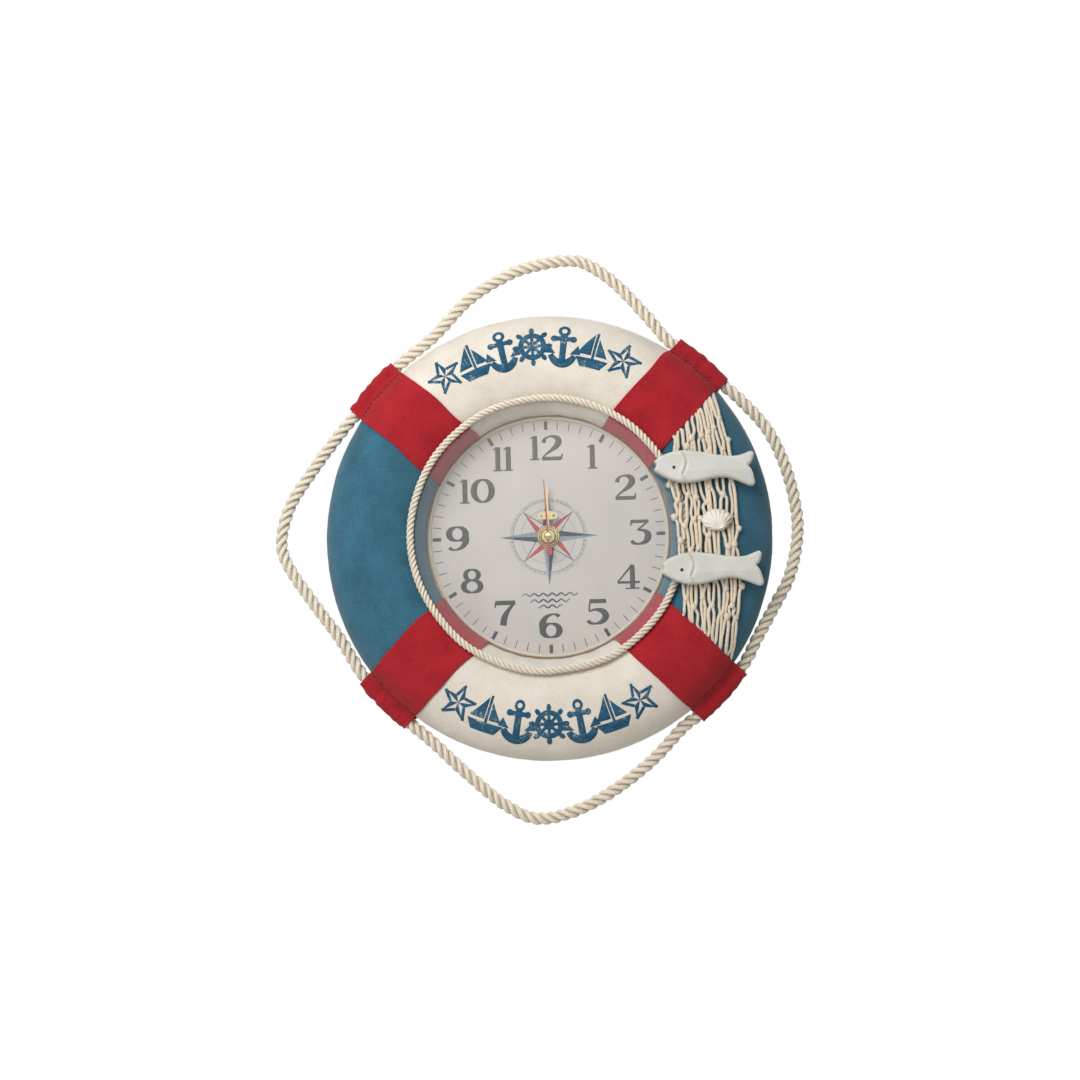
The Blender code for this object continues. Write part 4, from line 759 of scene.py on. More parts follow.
def netDepth(across, rise):
    # it lies on the cloth, and from the ring's crown it runs straight to the window rope's crown
    radius = np.hypot(across, rise)
    lift = net["cord"] / 2 + net["clear"]
    crown = window["ropeDepth"] + window["ropeDiameter"] / 2 + lift
    top = max(ring["middle"] + ring["halfDepth"] + lift, crown)
    share = ramp(radius, window["ropeRadius"], ring["centre"])
    return np.where(radius > ring["centre"], ringFront(radius, 0.0) + lift, crown + (top - crown) * share)


def cordAlong(path, radius, sides=6):  # a round cord with closed ends
    points = shutEnds(path, tubeRings(path, *frameAlong(path), radius, sides))
    uv = uvGrid(capped(pathLengths(path)), np.arange(sides + 1) / sides)
    # painted shade: the side of the cord that faces the cloth is painted darker
    paintedShadeAndTint = np.zeros(points.shape[:2]) + 0.25 * (1 - np.sin(circle(sides)))
    return gridSurface("net", allOnFace(points), uv, False, True, paintedShadeAndTint)


def easeIn(t):
    t = np.clip(t, 0, 1)
    return t * t * (3 - 2 * t)


def knotAt(x, depth, z, across, high, lean):
    # an egg with three cord-wide waists: swell = 1 + 0.12 cos(3 (1.4 p + v)), p from pole to pole, v round
    p, v = np.linspace(0, math.pi, 9)[:, None], circle(10)
    swell = 1 + 0.12 * np.cos(3 * (p * 1.4 + v))
    rx, rz = leaning(across * np.sin(p) * np.cos(v) * swell, high * np.cos(p) * swell, lean)
    forward = 0.85 * across * np.sin(p) * np.sin(v) * swell
    # painted shade: the back of the knot, towards the cloth, is painted darker
    paintedShadeAndTint = np.clip(0.5 - forward / across, 0, 1) * 0.5
    uv = uvGrid(np.linspace(0, 4, 9), np.linspace(0, 1, 11))
    return gridSurface("net", onFace(x + rx, depth + forward, z + rz), uv, False, True, paintedShadeAndTint)


def addNet():
    draw = np.random.default_rng(5)
    columns, rows = 2 * net["meshesAcross"], net["rows"]
    jitter = draw.normal(0, 1, (columns + 2, rows + 2, 3)) * np.array(net["jitter"])
    t = np.linspace(0, 1, 13)
    bow = np.sin(math.pi * t)
    # the cords part at the knots and stand upright between them
    share = (easeIn(t / net["spread"]) + easeIn((t - 1 + net["spread"]) / net["spread"])) / 2
    share = 0.5 + (share - 0.5) * net["pinch"]

    def shares(column, row):  # where a knot is, as shares of the net's width and height
        dx, dz, _ = jitter[column, row]
        return column / columns + dx * (0 < column < columns), row / rows + dz * (0 < row < rows)

    meshes = []
    for column in range(columns + 1):
        for row in range(column % 2, rows + 1, 2):
            start, low = shares(column, row)
            if 0 < row < rows:
                x, z = netPoint(start, low)
                depth = netDepth(x, z) + 0.35 + abs(jitter[column, row, 2])
                size = np.array(net["knot"]) * draw.uniform(0.85, 1.15)
                meshes.append(knotAt(x, depth, z, *size, draw.uniform(-0.7, 0.7)))
            for other in (column - 1, column + 1):
                if row == rows or not 0 <= other <= columns:
                    continue
                end, high = shares(other, row + 1)
                along = low + (high - low) * t
                x, z = netPoint(start + (end - start) * share, along)
                swing = draw.normal(0, 0.3, 2)
                x = x + swing[0] * bow + swing[1] * np.sin(turn * t)
                # the ends go in under the bands' edges
                under = net["dive"] * easeIn(1 - np.minimum(along, 1 - along) / net["diveShare"])
                depth = netDepth(x, z) + draw.uniform(0, 0.9) * bow + 0.2 - under
                path = np.stack([x, depth, z], axis=1)
                meshes.append(cordAlong(path, net["cord"] / 2 * draw.uniform(0.85, 1.12)))
    mesh = closeMesh(joinMeshes("cottonNet", meshes), 0.001)
    cotton = spunCord("knottedCottonCord", "#E0D2BC", "#A08B6E", 2.0, 1.8, 0.25)
    piece = addPiece("cottonNet", mesh, "clock", cotton, ["fishing_net"])


addNet()
print("net knotted")

# ---- fish and shell ----

fish = {
    "length": 65.7, "thick": 8.0, "edge": 2.2, "back": 52.6,
    "places": {"Upper": (104.7, 39.4, -3.5), "Lower": (107.7, -26.8, -1.5)},  # x, z and tilt in degrees
    "eye": (-20.1, -1.2, 1.15), "gill": ((-14.4, 9.0), (-11.9, 4.2), (-12.2, -0.6), (-13.9, -5.0)),
    # x and z as shares of the length: over the back, the tail's edge, along the belly, the mouth
    "over": ((-0.504, 0.042), (-0.445, 0.091), (-0.380, 0.121), (-0.321, 0.142), (-0.254, 0.154),
             (-0.187, 0.158), (-0.105, 0.155), (-0.021, 0.146), (0.063, 0.133), (0.146, 0.123),
             (0.229, 0.117), (0.305, 0.121), (0.363, 0.138), (0.422, 0.163), (0.454, 0.170),
             (0.480, 0.146)),
    "tail": ((0.501, -0.138), (0.487, -0.088), (0.463, -0.021), (0.429, 0.030), (0.454, 0.054),
             (0.471, 0.096), (0.480, 0.146)),
    "under": ((-0.501, -0.042), (-0.480, -0.063), (-0.438, -0.088), (-0.380, -0.117), (-0.321, -0.142),
              (-0.254, -0.158), (-0.187, -0.160), (-0.121, -0.154), (-0.054, -0.142), (0.012, -0.126),
              (0.079, -0.109), (0.146, -0.096), (0.221, -0.094), (0.287, -0.109), (0.345, -0.129),
              (0.404, -0.154), (0.454, -0.170), (0.487, -0.163), (0.501, -0.138)),
    "mouth": ((-0.501, -0.042), (-0.483, 0.004), (-0.504, 0.042)),
}
# the gill's groove has a depth and a half width, its lip a height, distance and half width, the belly's facet a
# level, slope, fall, reach and the x between which it sets in, and the arch a fall, its middle and its ends
carving = {"groove": (0.95, 0.75), "lip": (0.45, 1.6, 1.0), "belly": (-2.6, 0.05, 0.17, 9.0, -14.0, -12.0),
           "arch": (0.0024, -8.0, -48.0, 12.0), "thinnest": 2.2}


def evenly(points, count):
    path, lengths = curveThrough(np.array(points) * fish["length"], 0.002)
    at = np.linspace(0, lengths[-1], count)
    return np.stack([np.interp(at, lengths, path[:, k]) for k in (0, 1)], axis=1)


def nearest(x, z, line):  # distance to the nearest of a line's points
    return np.hypot(x[..., None] - line[:, 0], z[..., None] - line[:, 1]).min(axis=-1)


def paintedWood(name):
    # sawn and sanded softwood under two coats of white satin paint: smooth, a little grain and brush marks
    material, tree = startMaterial(name, Roughness=0.38, Coat_Weight=0.15, Coat_Roughness=0.3)
    place = objectPlace(tree)
    grain = noise(tree, addNode(tree, "Mapping", {"Vector": place, "Scale": (60.0, 60.0, 900.0)}), 1.0, 4.0)
    dress(tree, noise(tree, place, 90.0), [(0.3, "#C6C5BD"), (0.65, "#D1D0C9")], grain, 0.35, 0.12)
    return material


def flatCoat(name, colour, other, scale, **constants):
    # a thin coat of ink or enamel, flat and faintly uneven in colour
    material, tree = startMaterial(name, **constants)
    dress(tree, noise(tree, objectPlace(tree), scale), [(0.35, colour), (0.65, other)])
    return material


fishPaint = paintedWood("whitePaintedWood")
# black enamel put on with a stick: glossy and a little uneven
eyePaint = flatCoat("blackEnamelDot", "#141416", "#222226", 3000.0, Roughness=0.2)


def fishHeight(x, z, outline):
    # thick - edge + sqrt(edge2 - (edge - d)2) at a distance d from the outline, less the facet along the
    # belly and the gill's groove, and with the raised lip beside it
    edge = fish["edge"]
    d = np.minimum(nearest(x, z, outline), edge)
    height = fish["thick"] - edge + np.sqrt(np.maximum(edge**2 - (edge - d) ** 2, 0))
    level, slope, fall, reach, *sets = carving["belly"]
    belly = np.clip(level + slope * x - z, 0, reach) * ramp(x, *sets)
    gill, _ = curveThrough(np.array(fish["gill"]), 0.4)
    near = nearest(x, z, gill)
    (deep, groove), (high, away, lip) = carving["groove"], carving["lip"]
    height = height - fall * belly - deep * np.exp(-(near / groove) ** 2)
    inFront = x < np.interp(z, gill[::-1, 1], gill[::-1, 0])
    height = height + high * np.exp(-((near - away) / lip) ** 2) * inFront
    curve, middle, *ends = carving["arch"]
    return np.maximum(height - curve * np.abs(np.clip(x, *ends) - middle), carving["thinnest"])


def addFish(which, ax, az, tilt):
    # a Coons patch: (1-v) under + v over + (1-u) mouth + u tail - the corners' bilinear patch
    rows, columns = 121, 49
    over, under = (evenly(fish[k], rows)[:, None, :] for k in ("over", "under"))
    u = np.linspace(0, 1, rows)[:, None, None]
    even = np.linspace(0, 1, columns)
    v = 0.5 + 0.5 * np.sin((2 * even - 1) * math.pi / 2)
    mouth, tail = (np.stack([np.interp(v, even, line[:, k]) for k in (0, 1)], axis=1)[None]
                   for line in (evenly(fish["mouth"], columns), evenly(fish["tail"], columns)))
    v = v[None, :, None]
    corners = ((1 - u) * (1 - v) * mouth[:, :1] + (1 - u) * v * mouth[:, -1:]
               + u * (1 - v) * tail[:, :1] + u * v * tail[:, -1:])
    flat = (1 - v) * under + v * over + (1 - u) * mouth + u * tail - corners
    outline = np.concatenate([over[:, 0], tail[0], under[:, 0], mouth[0]])
    heights = np.pad(fishHeight(flat[..., 0], flat[..., 1], outline), ((1, 1), (1, columns)))
    flat = capped(flat)
    both = np.concatenate([flat[:, :1], flat, flat[:, ::-1]], axis=1)

    def place(x, z, up):
        x, z = leaning(x, z, math.radians(tilt))
        return onFace(ax + x, fish["back"] + up, az + z)

    mesh = closeMesh(gridSurface("fish", place(both[..., 0], both[..., 1], heights)), 0.01)
    addPiece("woodenFish" + which, mesh, "clock", fishPaint, ["fish_" + which.lower()],
             sharpFrom=50)
    ex, ez, radius = fish["eye"]
    p, w = np.linspace(0, math.pi, 9)[:, None], circle(20)
    level = float(fishHeight(np.array([[ex]]), np.array([[ez]]), outline)[0, 0])
    dot = gridSurface("eye", place(ex + radius * np.sin(p) * np.cos(w), ez + radius * np.sin(p) * np.sin(w),
                                   level + 0.35 * np.cos(p)), wrapColumns=True)
    addPiece("fishEye" + which, closeMesh(dot), "clock", eyePaint)


for which, values in fish["places"].items():
    addFish(which, *values)
print("fish made")

shell = {"half": (9.85, 7.15), "deep": 6.0, "x": 111.6, "z": 4.9, "umbo": (1.2, -5.6), "ribs": 22.5,
         "rib": 0.42, "rim": 0.8, "flare": 0.025, "steps": 156, "rows": 30, "dome": 4.6, "thinnest": 0.5,
         # where the fan fades out, as angles from its middle, and between which x and z the tan sets in
         "fan": (2.0, 1.5), "tanX": (3.0, 7.5), "tanZ": (2.5, -1.5)}


def shellLime(name):
    # bleached scallop: chalky calcium with a slight sheen, ribs paler than the hollows, one tan side
    material, tree = startMaterial(name, Roughness=0.45, Subsurface_Weight=0.05)
    cloud = noise(tree, objectPlace(tree), 220.0, 3.0)
    tan = addNode(tree, "Attribute", out="Fac", attribute_name="paintedShadeAndTint")
    dress(tree, maths(tree, "MULTIPLY_ADD", cloud, 0.35, tan),
          [(0.16, "#E6E2D7"), (0.45, "#D2C7B2"), (0.95, "#A08B66")], cloud, 0.3, 0.1)
    return material


def addShell():
    # a fan from the umbo to an oval rim, where (umbo + reach way) / half has length 1: height = rim + dome
    # (1 - s^2.2)^0.5 (0.62 + 0.38 rise near the umbo) and ribs = rib cos(ribs t), with a flat back
    t, s = circle(shell["steps"]), np.linspace(0, 1, shell["rows"])[:, None]
    half = np.array(shell["half"])
    start, way = np.array(shell["umbo"]) / half, np.stack([np.sin(t), np.cos(t)], axis=1) / half
    qa, qb, qc = (way**2).sum(1), 2 * (way * start).sum(1), (start**2).sum() - 1
    away = np.arctan2(np.sin(t), np.cos(t))
    fan = ramp(np.abs(away), *shell["fan"])
    ribs = np.cos(shell["ribs"] * away)
    reach = (-qb + np.sqrt(qb**2 - 4 * qa * qc)) / (2 * qa) * (1 + shell["flare"] * ribs * fan)
    x, z = shell["umbo"][0] + s * reach * np.sin(t), shell["umbo"][1] + s * reach * np.cos(t)
    dome = np.sqrt(np.maximum(1 - s**2.2, 0)) * (0.62 + 0.38 * np.clip(s / 0.35, 0, 1))
    ridges = shell["rib"] * ribs * fan * np.clip(s * 1.8 - 0.5, 0, 1) * (1.02 - s**6)
    height = np.clip(shell["rim"] + shell["dome"] * dome + ridges, shell["thinnest"], shell["deep"])
    tan = 0.6 * ramp(x, *shell["tanX"]) * ramp(z, *shell["tanZ"]) + 0.07 * (1 - ribs) * fan * s
    x, z, height, tan = (np.concatenate([part, part[-1:], 0 * part[:1]]) for part in (x, z, height, tan))
    height[-2:] = 0.0
    place = onFace(shell["x"] + x, fish["back"] + height, shell["z"] + z)
    mesh = closeMesh(gridSurface("shell", place, wrapColumns=True, values=tan), 0.004)
    addPiece("scallopShell", mesh, "clock", shellLime("bleachedScallop"), ["scallop_shell"])


addShell()
print("shell made")

# ---- dial prints ----

dial = {"face": 22.2, "thickness": 0.05, "high": 16.5, "wide": 24.6, "fine": 1.1, "heavy": 28.0,
        "tickRadius": 75.5, "tick": (5.4, 0.5), "hourTick": (5.7, 2.3),
        "wider": {"5": 1.08, "6": 1.11, "7": 1.07, "8": 1.08, "9": 1.11, "0": 1.05},
        # x and z of the middle of each number, from one o'clock on
        "numbers": ((31.0, 53.4), (52.6, 32.0), (61.9, 1.1), (53.4, -28.5), (31.5, -51.6), (0.2, -60.0),
                    (-30.0, -51.1), (-52.0, -28.4), (-61.0, 0.5), (-47.0, 32.4), (-29.4, 53.7), (0.2, 60.4))}
# strokes of x, z and width, as shares of a digit 1 high; the space is what it takes up of the line
digits = {
    "0": (0.66, [("oval", 0.33, 0.5, 0.235, 0.455, 0.165, 0.055)]),
    "1": (0.27, [("line", (0.145, 0.02, 0.13), (0.145, 0.5, 0.13), (0.145, 0.99, 0.13)),
                 ("line", (0.15, 0.965, 0.045), (0.08, 0.93, 0.05), (0.01, 0.88, 0.03)),
                 ("line", (0.01, 0.025, 0.045), (0.14, 0.025, 0.045), (0.27, 0.025, 0.045))]),
    "2": (0.62, [("line", (0.10, 0.70, 0.10), (0.11, 0.77, 0.12), (0.15, 0.88, 0.07), (0.30, 0.97, 0.055),
                  (0.46, 0.90, 0.13), (0.51, 0.74, 0.17), (0.44, 0.55, 0.14), (0.28, 0.36, 0.08),
                  (0.13, 0.19, 0.055), (0.05, 0.05, 0.05)),
                 ("line", (0.05, 0.05, 0.10), (0.30, 0.05, 0.10), (0.58, 0.05, 0.10)),
                 ("line", (0.575, 0.02, 0.05), (0.59, 0.12, 0.05), (0.60, 0.24, 0.04))]),
    "3": (0.62, [("line", (0.07, 0.95, 0.09), (0.30, 0.95, 0.09), (0.55, 0.95, 0.09)),
                 ("line", (0.08, 0.97, 0.05), (0.07, 0.88, 0.05), (0.06, 0.77, 0.04)),
                 ("line", (0.54, 0.95, 0.05), (0.39, 0.77, 0.055), (0.24, 0.60, 0.05)),
                 ("line", (0.24, 0.60, 0.05), (0.40, 0.58, 0.08), (0.51, 0.46, 0.15), (0.52, 0.28, 0.17),
                  (0.44, 0.11, 0.12), (0.28, 0.03, 0.06), (0.13, 0.07, 0.09), (0.08, 0.17, 0.11))]),
    "4": (0.66, [("line", (0.43, 0.98, 0.06), (0.23, 0.63, 0.055), (0.03, 0.29, 0.05)),
                 ("line", (0.02, 0.27, 0.07), (0.33, 0.27, 0.07), (0.63, 0.27, 0.07)),
                 ("line", (0.43, 0.98, 0.12), (0.43, 0.50, 0.13), (0.43, 0.02, 0.13)),
                 ("line", (0.24, 0.022, 0.045), (0.43, 0.022, 0.045), (0.62, 0.022, 0.045))]),
    "5": (0.62, [("line", (0.13, 0.94, 0.11), (0.32, 0.94, 0.11), (0.55, 0.94, 0.11)),
                 ("line", (0.145, 0.94, 0.05), (0.125, 0.75, 0.05), (0.11, 0.54, 0.045)),
                 ("line", (0.11, 0.53, 0.05), (0.27, 0.60, 0.07), (0.45, 0.53, 0.14), (0.53, 0.34, 0.17),
                  (0.45, 0.13, 0.13), (0.28, 0.03, 0.06), (0.13, 0.07, 0.09), (0.08, 0.17, 0.11))]),
    "6": (0.64, [("oval", 0.33, 0.31, 0.205, 0.275, 0.165, 0.05),
                 ("line", (0.53, 0.86, 0.11), (0.49, 0.93, 0.08), (0.38, 0.965, 0.055), (0.22, 0.86, 0.11),
                  (0.13, 0.64, 0.165), (0.12, 0.46, 0.165), (0.13, 0.30, 0.15))]),
    "7": (0.62, [("line", (0.06, 0.94, 0.12), (0.32, 0.94, 0.12), (0.57, 0.94, 0.12)),
                 ("line", (0.07, 0.97, 0.05), (0.06, 0.87, 0.05), (0.05, 0.74, 0.04)),
                 ("line", (0.55, 0.92, 0.06), (0.40, 0.66, 0.10), (0.29, 0.36, 0.155), (0.25, 0.02, 0.17))]),
    "8": (0.64, [("oval", 0.32, 0.745, 0.165, 0.215, 0.13, 0.05),
                 ("oval", 0.32, 0.275, 0.215, 0.245, 0.15, 0.05)]),
    "9": (0.64, [("oval", 0.31, 0.69, 0.205, 0.275, 0.165, 0.05),
                 ("line", (0.11, 0.14, 0.11), (0.15, 0.07, 0.08), (0.26, 0.035, 0.055), (0.42, 0.14, 0.11),
                  (0.51, 0.36, 0.165), (0.52, 0.54, 0.165), (0.51, 0.70, 0.15))]),
}


def numeralInk(name):
    # grey offset ink on coated card: flat and faintly mottled, painted darker towards the foot of the dial and
    # lighter towards the top as a painted reflection of the pane
    material, tree = startMaterial(name, Roughness=0.55)
    place = objectPlace(tree)
    # the height on the dial sets the painted reflection: the ink is lighter higher up
    rise = addNode(tree, "SeparateXYZ", {0: place}, out=2)
    share = addNode(tree, "MapRange", {0: rise, 1: (axisRise - 60) * mm, 2: (axisRise + 60) * mm})
    shade = addNode(tree, "Mix", {0: 0.12, 2: share, 3: noise(tree, place, 700.0)})
    dress(tree, shade, [(0.1, "#2F3736"), (0.9, "#585750")])
    return material


greyInk = numeralInk("greyDialInk")
# offset inks on coated card: flat, faintly mottled, with the card's own slight gloss
roseInks = {"Navy": flatCoat("navyDialInk", "#253648", "#2D4055", 700.0, Roughness=0.55),
            "Red": flatCoat("redDialInk", "#A8373B", "#B24347", 700.0, Roughness=0.55),
            "Pale": flatCoat("paleDialInk", "#7F8D96", "#8B989F", 700.0, Roughness=0.55)}


def strokeWidth(share):  # hairlines stay fine while full strokes are heavy
    return dial["fine"] + (share - 0.05) * dial["heavy"]


def numeral(text, x, z):
    wides = [dial["wide"] * dial["wider"].get(c, 1.0) for c in text]
    left = x - sum((digits[c][0] + 0.02) * wide for c, wide in zip(text, wides)) / 2
    low, high = z - dial["high"] / 2, dial["high"]
    shapes = []
    for c, wide in zip(text, wides):
        space, strokes = digits[c]
        for kind, *rest in strokes:
            if kind == "oval":
                cx, cz, across, upright, side, end = rest
                grid = oval(left + cx * wide, low + cz * high, across * wide, upright * high,
                            strokeWidth(side), strokeWidth(end), 36)
            else:
                rows = np.array(rest) * [wide, high, 1.0] + [left, low, 0.0]
                rows[:, 2] = strokeWidth(rows[:, 2])
                grid = ribbon(rows)
            shapes.append(grid)
        left += (space + 0.02) * wide
    return shapes


def addPrint(name, shapes, ink):
    def lay(x, z, up):
        return onFace(x, dial["face"] + 0.005 + up, z)

    addPiece(name, printed(name, shapes, lay, dial["thickness"]), "clock", ink)


def addDialPrints():
    numerals = [shape for hour, place in enumerate(dial["numbers"], 1)
                for shape in numeral(str(hour), *place)]
    ticks = []
    for minute in range(60):
        long, wide = dial["tick"] if minute % 5 else dial["hourTick"]
        ends = (around(turn * minute / 60, dial["tickRadius"] + side * long / 2) for side in (-1, 1))
        ticks.append(bar(*next(ends), *next(ends), wide))
    addPrint("dialNumerals", numerals, greyInk)
    addPrint("dialMinuteMarks", ticks, greyInk)


rose = {"ring": 24.0, "long": 33.0, "short": 23.2, "waist": 9.2, "scale": 1.6, "inner": 18.2,
        "waves": ((-39.0, 19.0), (-43.2, 13.5), (-47.0, 8.5))}  # level and half length


def addCompassRose():
    # eight points, each two facets from the waist to the tip; long ones navy, short ones red
    navy, red, pale = [], [], []
    for k in range(8):
        angle, short = turn * k / 8, k % 2
        end = around(angle, rose["short" if short else "long"])
        before, after = (around(angle + side * turn / 16, rose["waist"]) for side in (-1, 1))
        (red if short else navy).append(facet((0.0, 0.0), end, before))
        if short:
            navy += [bar(*end, *after, 0.5), bar(*after, 0.0, 0.0, 0.5)]
        else:
            pale.append(facet((0.0, 0.0), end, after))
    outer = rose["ring"] + rose["scale"]
    for radius, width in ((rose["ring"], 0.55), (outer, 0.3), (rose["inner"], 0.35)):
        pale.append(oval(0.0, 0.0, radius, radius, width, width, 60))
    navy += [bar(*around(turn * k / 48, rose["ring"]), *around(turn * k / 48, outer), 0.35)
             for k in range(48) if k % 6]
    for level, reach in rose["waves"]:
        x = np.linspace(-reach, reach, 31)
        z = level + 0.9 * np.sin(x * turn / 6.0)
        navy.append(ribbon(np.stack([x, z, 0.35 + 0.75 * np.cos(x / reach * 1.4)], axis=1), step=0.6))
    for tint, shapes in (("Navy", navy), ("Red", red), ("Pale", pale)):
        addPrint("rose" + tint, shapes, roseInks[tint])


addDialPrints()
addCompassRose()
print("dial printed")

# ---- washer, nut and cap, turned from brass ----

hub = {"bore": 3.95, "washer": (7.8, 22.3, 22.85, 0.25), "pitch": 1.15, "capRadius": 2.6, "capRim": 0.5,
       "nutRings": 3, "nutSlope": 0.45, "nutCut": 0.3}


def turnedPiece(name, node, body, rows, material, sharpFrom, steps=96, values=None):
    # rows of radius and depth, turned about the hands' axis
    rows = np.array(rows, float)
    points = clockwise(rows[:, :1], rows[:, 1:], circle(steps))
    if values is not None:
        values = np.repeat(np.asarray(values, float)[:, None], steps, axis=1)
    mesh = closeMesh(gridSurface(name, points, wrapColumns=True, values=values), 0.003)
    addPiece(name, mesh, body, material, [node], sharpFrom=sharpFrom)


def turnedBrass(name):
    # brass turned on a lathe: bright lands and cutting marks, with painted shade in the grooves, the bore and
    # the sides towards the back
    material, tree = startMaterial(name, Metallic=1.0, Roughness=0.25)
    groove = addNode(tree, "Attribute", out="Fac", attribute_name="paintedShadeAndTint")
    shade = maths(tree, "MULTIPLY_ADD", noise(tree, objectPlace(tree), 900.0), 0.3, groove)
    dress(tree, shade, [(0.1, "#F2E0B0"), (0.5, "#D3B87B"), (1.0, "#8C7142")])
    return material


def depthsOf(node):  # back and face of a solid, and half its width
    low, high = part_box(node)
    return -high[1] / mm, -low[1] / mm, (high[0] - low[0]) / 2 / mm


def addWasher():
    # its face has turned grooves: depth = face - deep (1 - cos(turn r / pitch)) / 2
    bore, (outer, back, face, deep) = hub["bore"], hub["washer"]
    radii = np.arange(4.2, 7.5, 0.08)
    dents = 0.5 - 0.5 * np.cos(turn * (radii - 4.6) / hub["pitch"])
    rows = [(bore, back), (bore, 22.75), *zip(radii, face - deep * dents), (7.65, 22.72), (outer, 22.6),
            (outer, back), (bore, back)]
    # the values are painted shade: darker in the grooves, in the bore and on the outer side towards the back
    turnedPiece("turnedBoss", "dial_washer", "clock", rows, turnedBrass("turnedBrassWasher"), 40,
                values=[0.4, 0.2, *dents, 0.1, 0.3, 0.8, 0.4])


def addNut():
    # a round turned nut on the bush, with rings cut in its sloping face: depth = face - slope s -
    # cut (1 - cos(turn rings s)) / 2
    bore, (back, face, outer) = hub["bore"], depthsOf("fixing_nut")
    s = np.linspace(0, 1, 40)
    dents = 0.5 - 0.5 * np.cos(turn * hub["nutRings"] * s)
    slope = zip(4.15 + (outer - 4.55) * s, face - hub["nutSlope"] * s - hub["nutCut"] * dents)
    rows = [(bore, back), (bore, face - 0.3), *slope, (outer - 0.1, face - 0.6), (outer, face - 0.8),
            (outer, back), (bore, back)]
    # the values are painted shade: darker in the rings, in the bore and on the side towards the back
    turnedPiece("roundNut", "fixing_nut", "clock", rows, turnedBrass("turnedBrassNut"), 40,
                values=[0.8, 0.4, *dents, 0.1, 0.2, 0.8, 0.8])


def addCap(brass):
    # a dome over a short rim: r = radius cos a, depth = rim + rise sin a
    radius, (back, front, _) = hub["capRadius"], depthsOf("second_cap")
    rim = back + hub["capRim"]
    rows = [(0.0, back), (radius - 0.15, back), (radius, back + 0.15), (radius, rim)]
    rows += [(radius * math.cos(a), rim + (front - rim) * math.sin(a))
             for a in np.linspace(0, turn / 4, 14)[1:]]
    turnedPiece("domedCap", "second_cap", "seconds", rows, brass, 50, steps=48)


bead = {"radius": 81.9, "depth": 17.6, "across": 2.3, "high": 1.2, "steps": 160, "sides": 10}


def addGlueBead():
    # hot glue holds the board in the ring, in an uneven bead behind the board's edge: milky, yellowish
    # and smooth
    w, v = circle(bead["steps"])[:, None], circle(bead["sides"])
    swell = 1 + 0.16 * waves(91, 6, 0.15, 0.8)(w[:, 0])[:, None]
    points = clockwise(bead["radius"] + bead["across"] * swell * np.cos(v),
                       bead["depth"] + bead["high"] * swell * np.sin(v), w)
    uv = uvGrid(np.linspace(0, 510, bead["steps"] + 1), np.linspace(0, 9, bead["sides"] + 1))
    glue = twoTone("hotMeltGlue", "#D8CDB0", "#C4B692", 60.0, 0.2, Roughness=0.35, Subsurface_Weight=0.2)
    mesh = closeMesh(gridSurface("glueBead", points, uv, True, True))
    addPiece("glueBead", mesh, "clock", glue)


# ---- finishes of the parts that keep their CAD shape ----


def clearGlass(name):
    # float glass: clear, sharp reflections at its faces; light for the dial goes straight through it
    material, tree = startMaterial(name, Roughness=0.02, IOR=1.46, Transmission_Weight=1.0)
    dress(tree, noise(tree, objectPlace(tree), 55.0), [(0.3, "#F4F7F6"), (0.7, "#FAFBFA")])
    rays = addNode(tree, "LightPath", out=None)
    lit = maths(tree, "MAXIMUM", rays["Is Shadow Ray"], rays["Is Diffuse Ray"])
    mixOver(tree, lit, addNode(tree, "BsdfTransparent"))
    return material


def copperWinding(name):
    # enamelled copper wire wound side by side: 0.25 mm turns across the coil's length, bright and orange, with
    # painted shade in the valley between each turn and the next
    material, tree = startMaterial(name, Metallic=1.0, Roughness=0.3)
    across = addNode(tree, "SeparateXYZ", {0: objectPlace(tree)})
    turns = maths(tree, "SINE", maths(tree, "MULTIPLY", across, turn / (0.25 * mm)))
    dress(tree, turns, [(0.0, "#8A4320"), (0.8, "#C9713C")], turns, 0.8, 0.1)
    return material


def cellSleeve(name):
    # printed shrink film on an AA cell: plain dark blue with a copper-coloured band at the positive end
    material, tree = startMaterial(name, Metallic=0.3, Roughness=0.3)
    across = addNode(tree, "SeparateXYZ", {0: objectPlace(tree)})
    share = addNode(tree, "MapRange", {0: across, 1: -25.0 * mm, 2: 25.0 * mm})
    dress(tree, share, [(0.0, "#C9CCCE"), (0.03, "#1F3B57"), (0.70, "#B4652F"), (0.985, "#C9CCCE")],
          blend="CONSTANT")
    return material


# polished brass: a bright and pale gold, with hardly any relief
brass = twoTone("polishedBrass", "#F1DFAF", "#E7D09B", 2500.0, 0.001, 0.1, Metallic=1.0, Roughness=0.22)
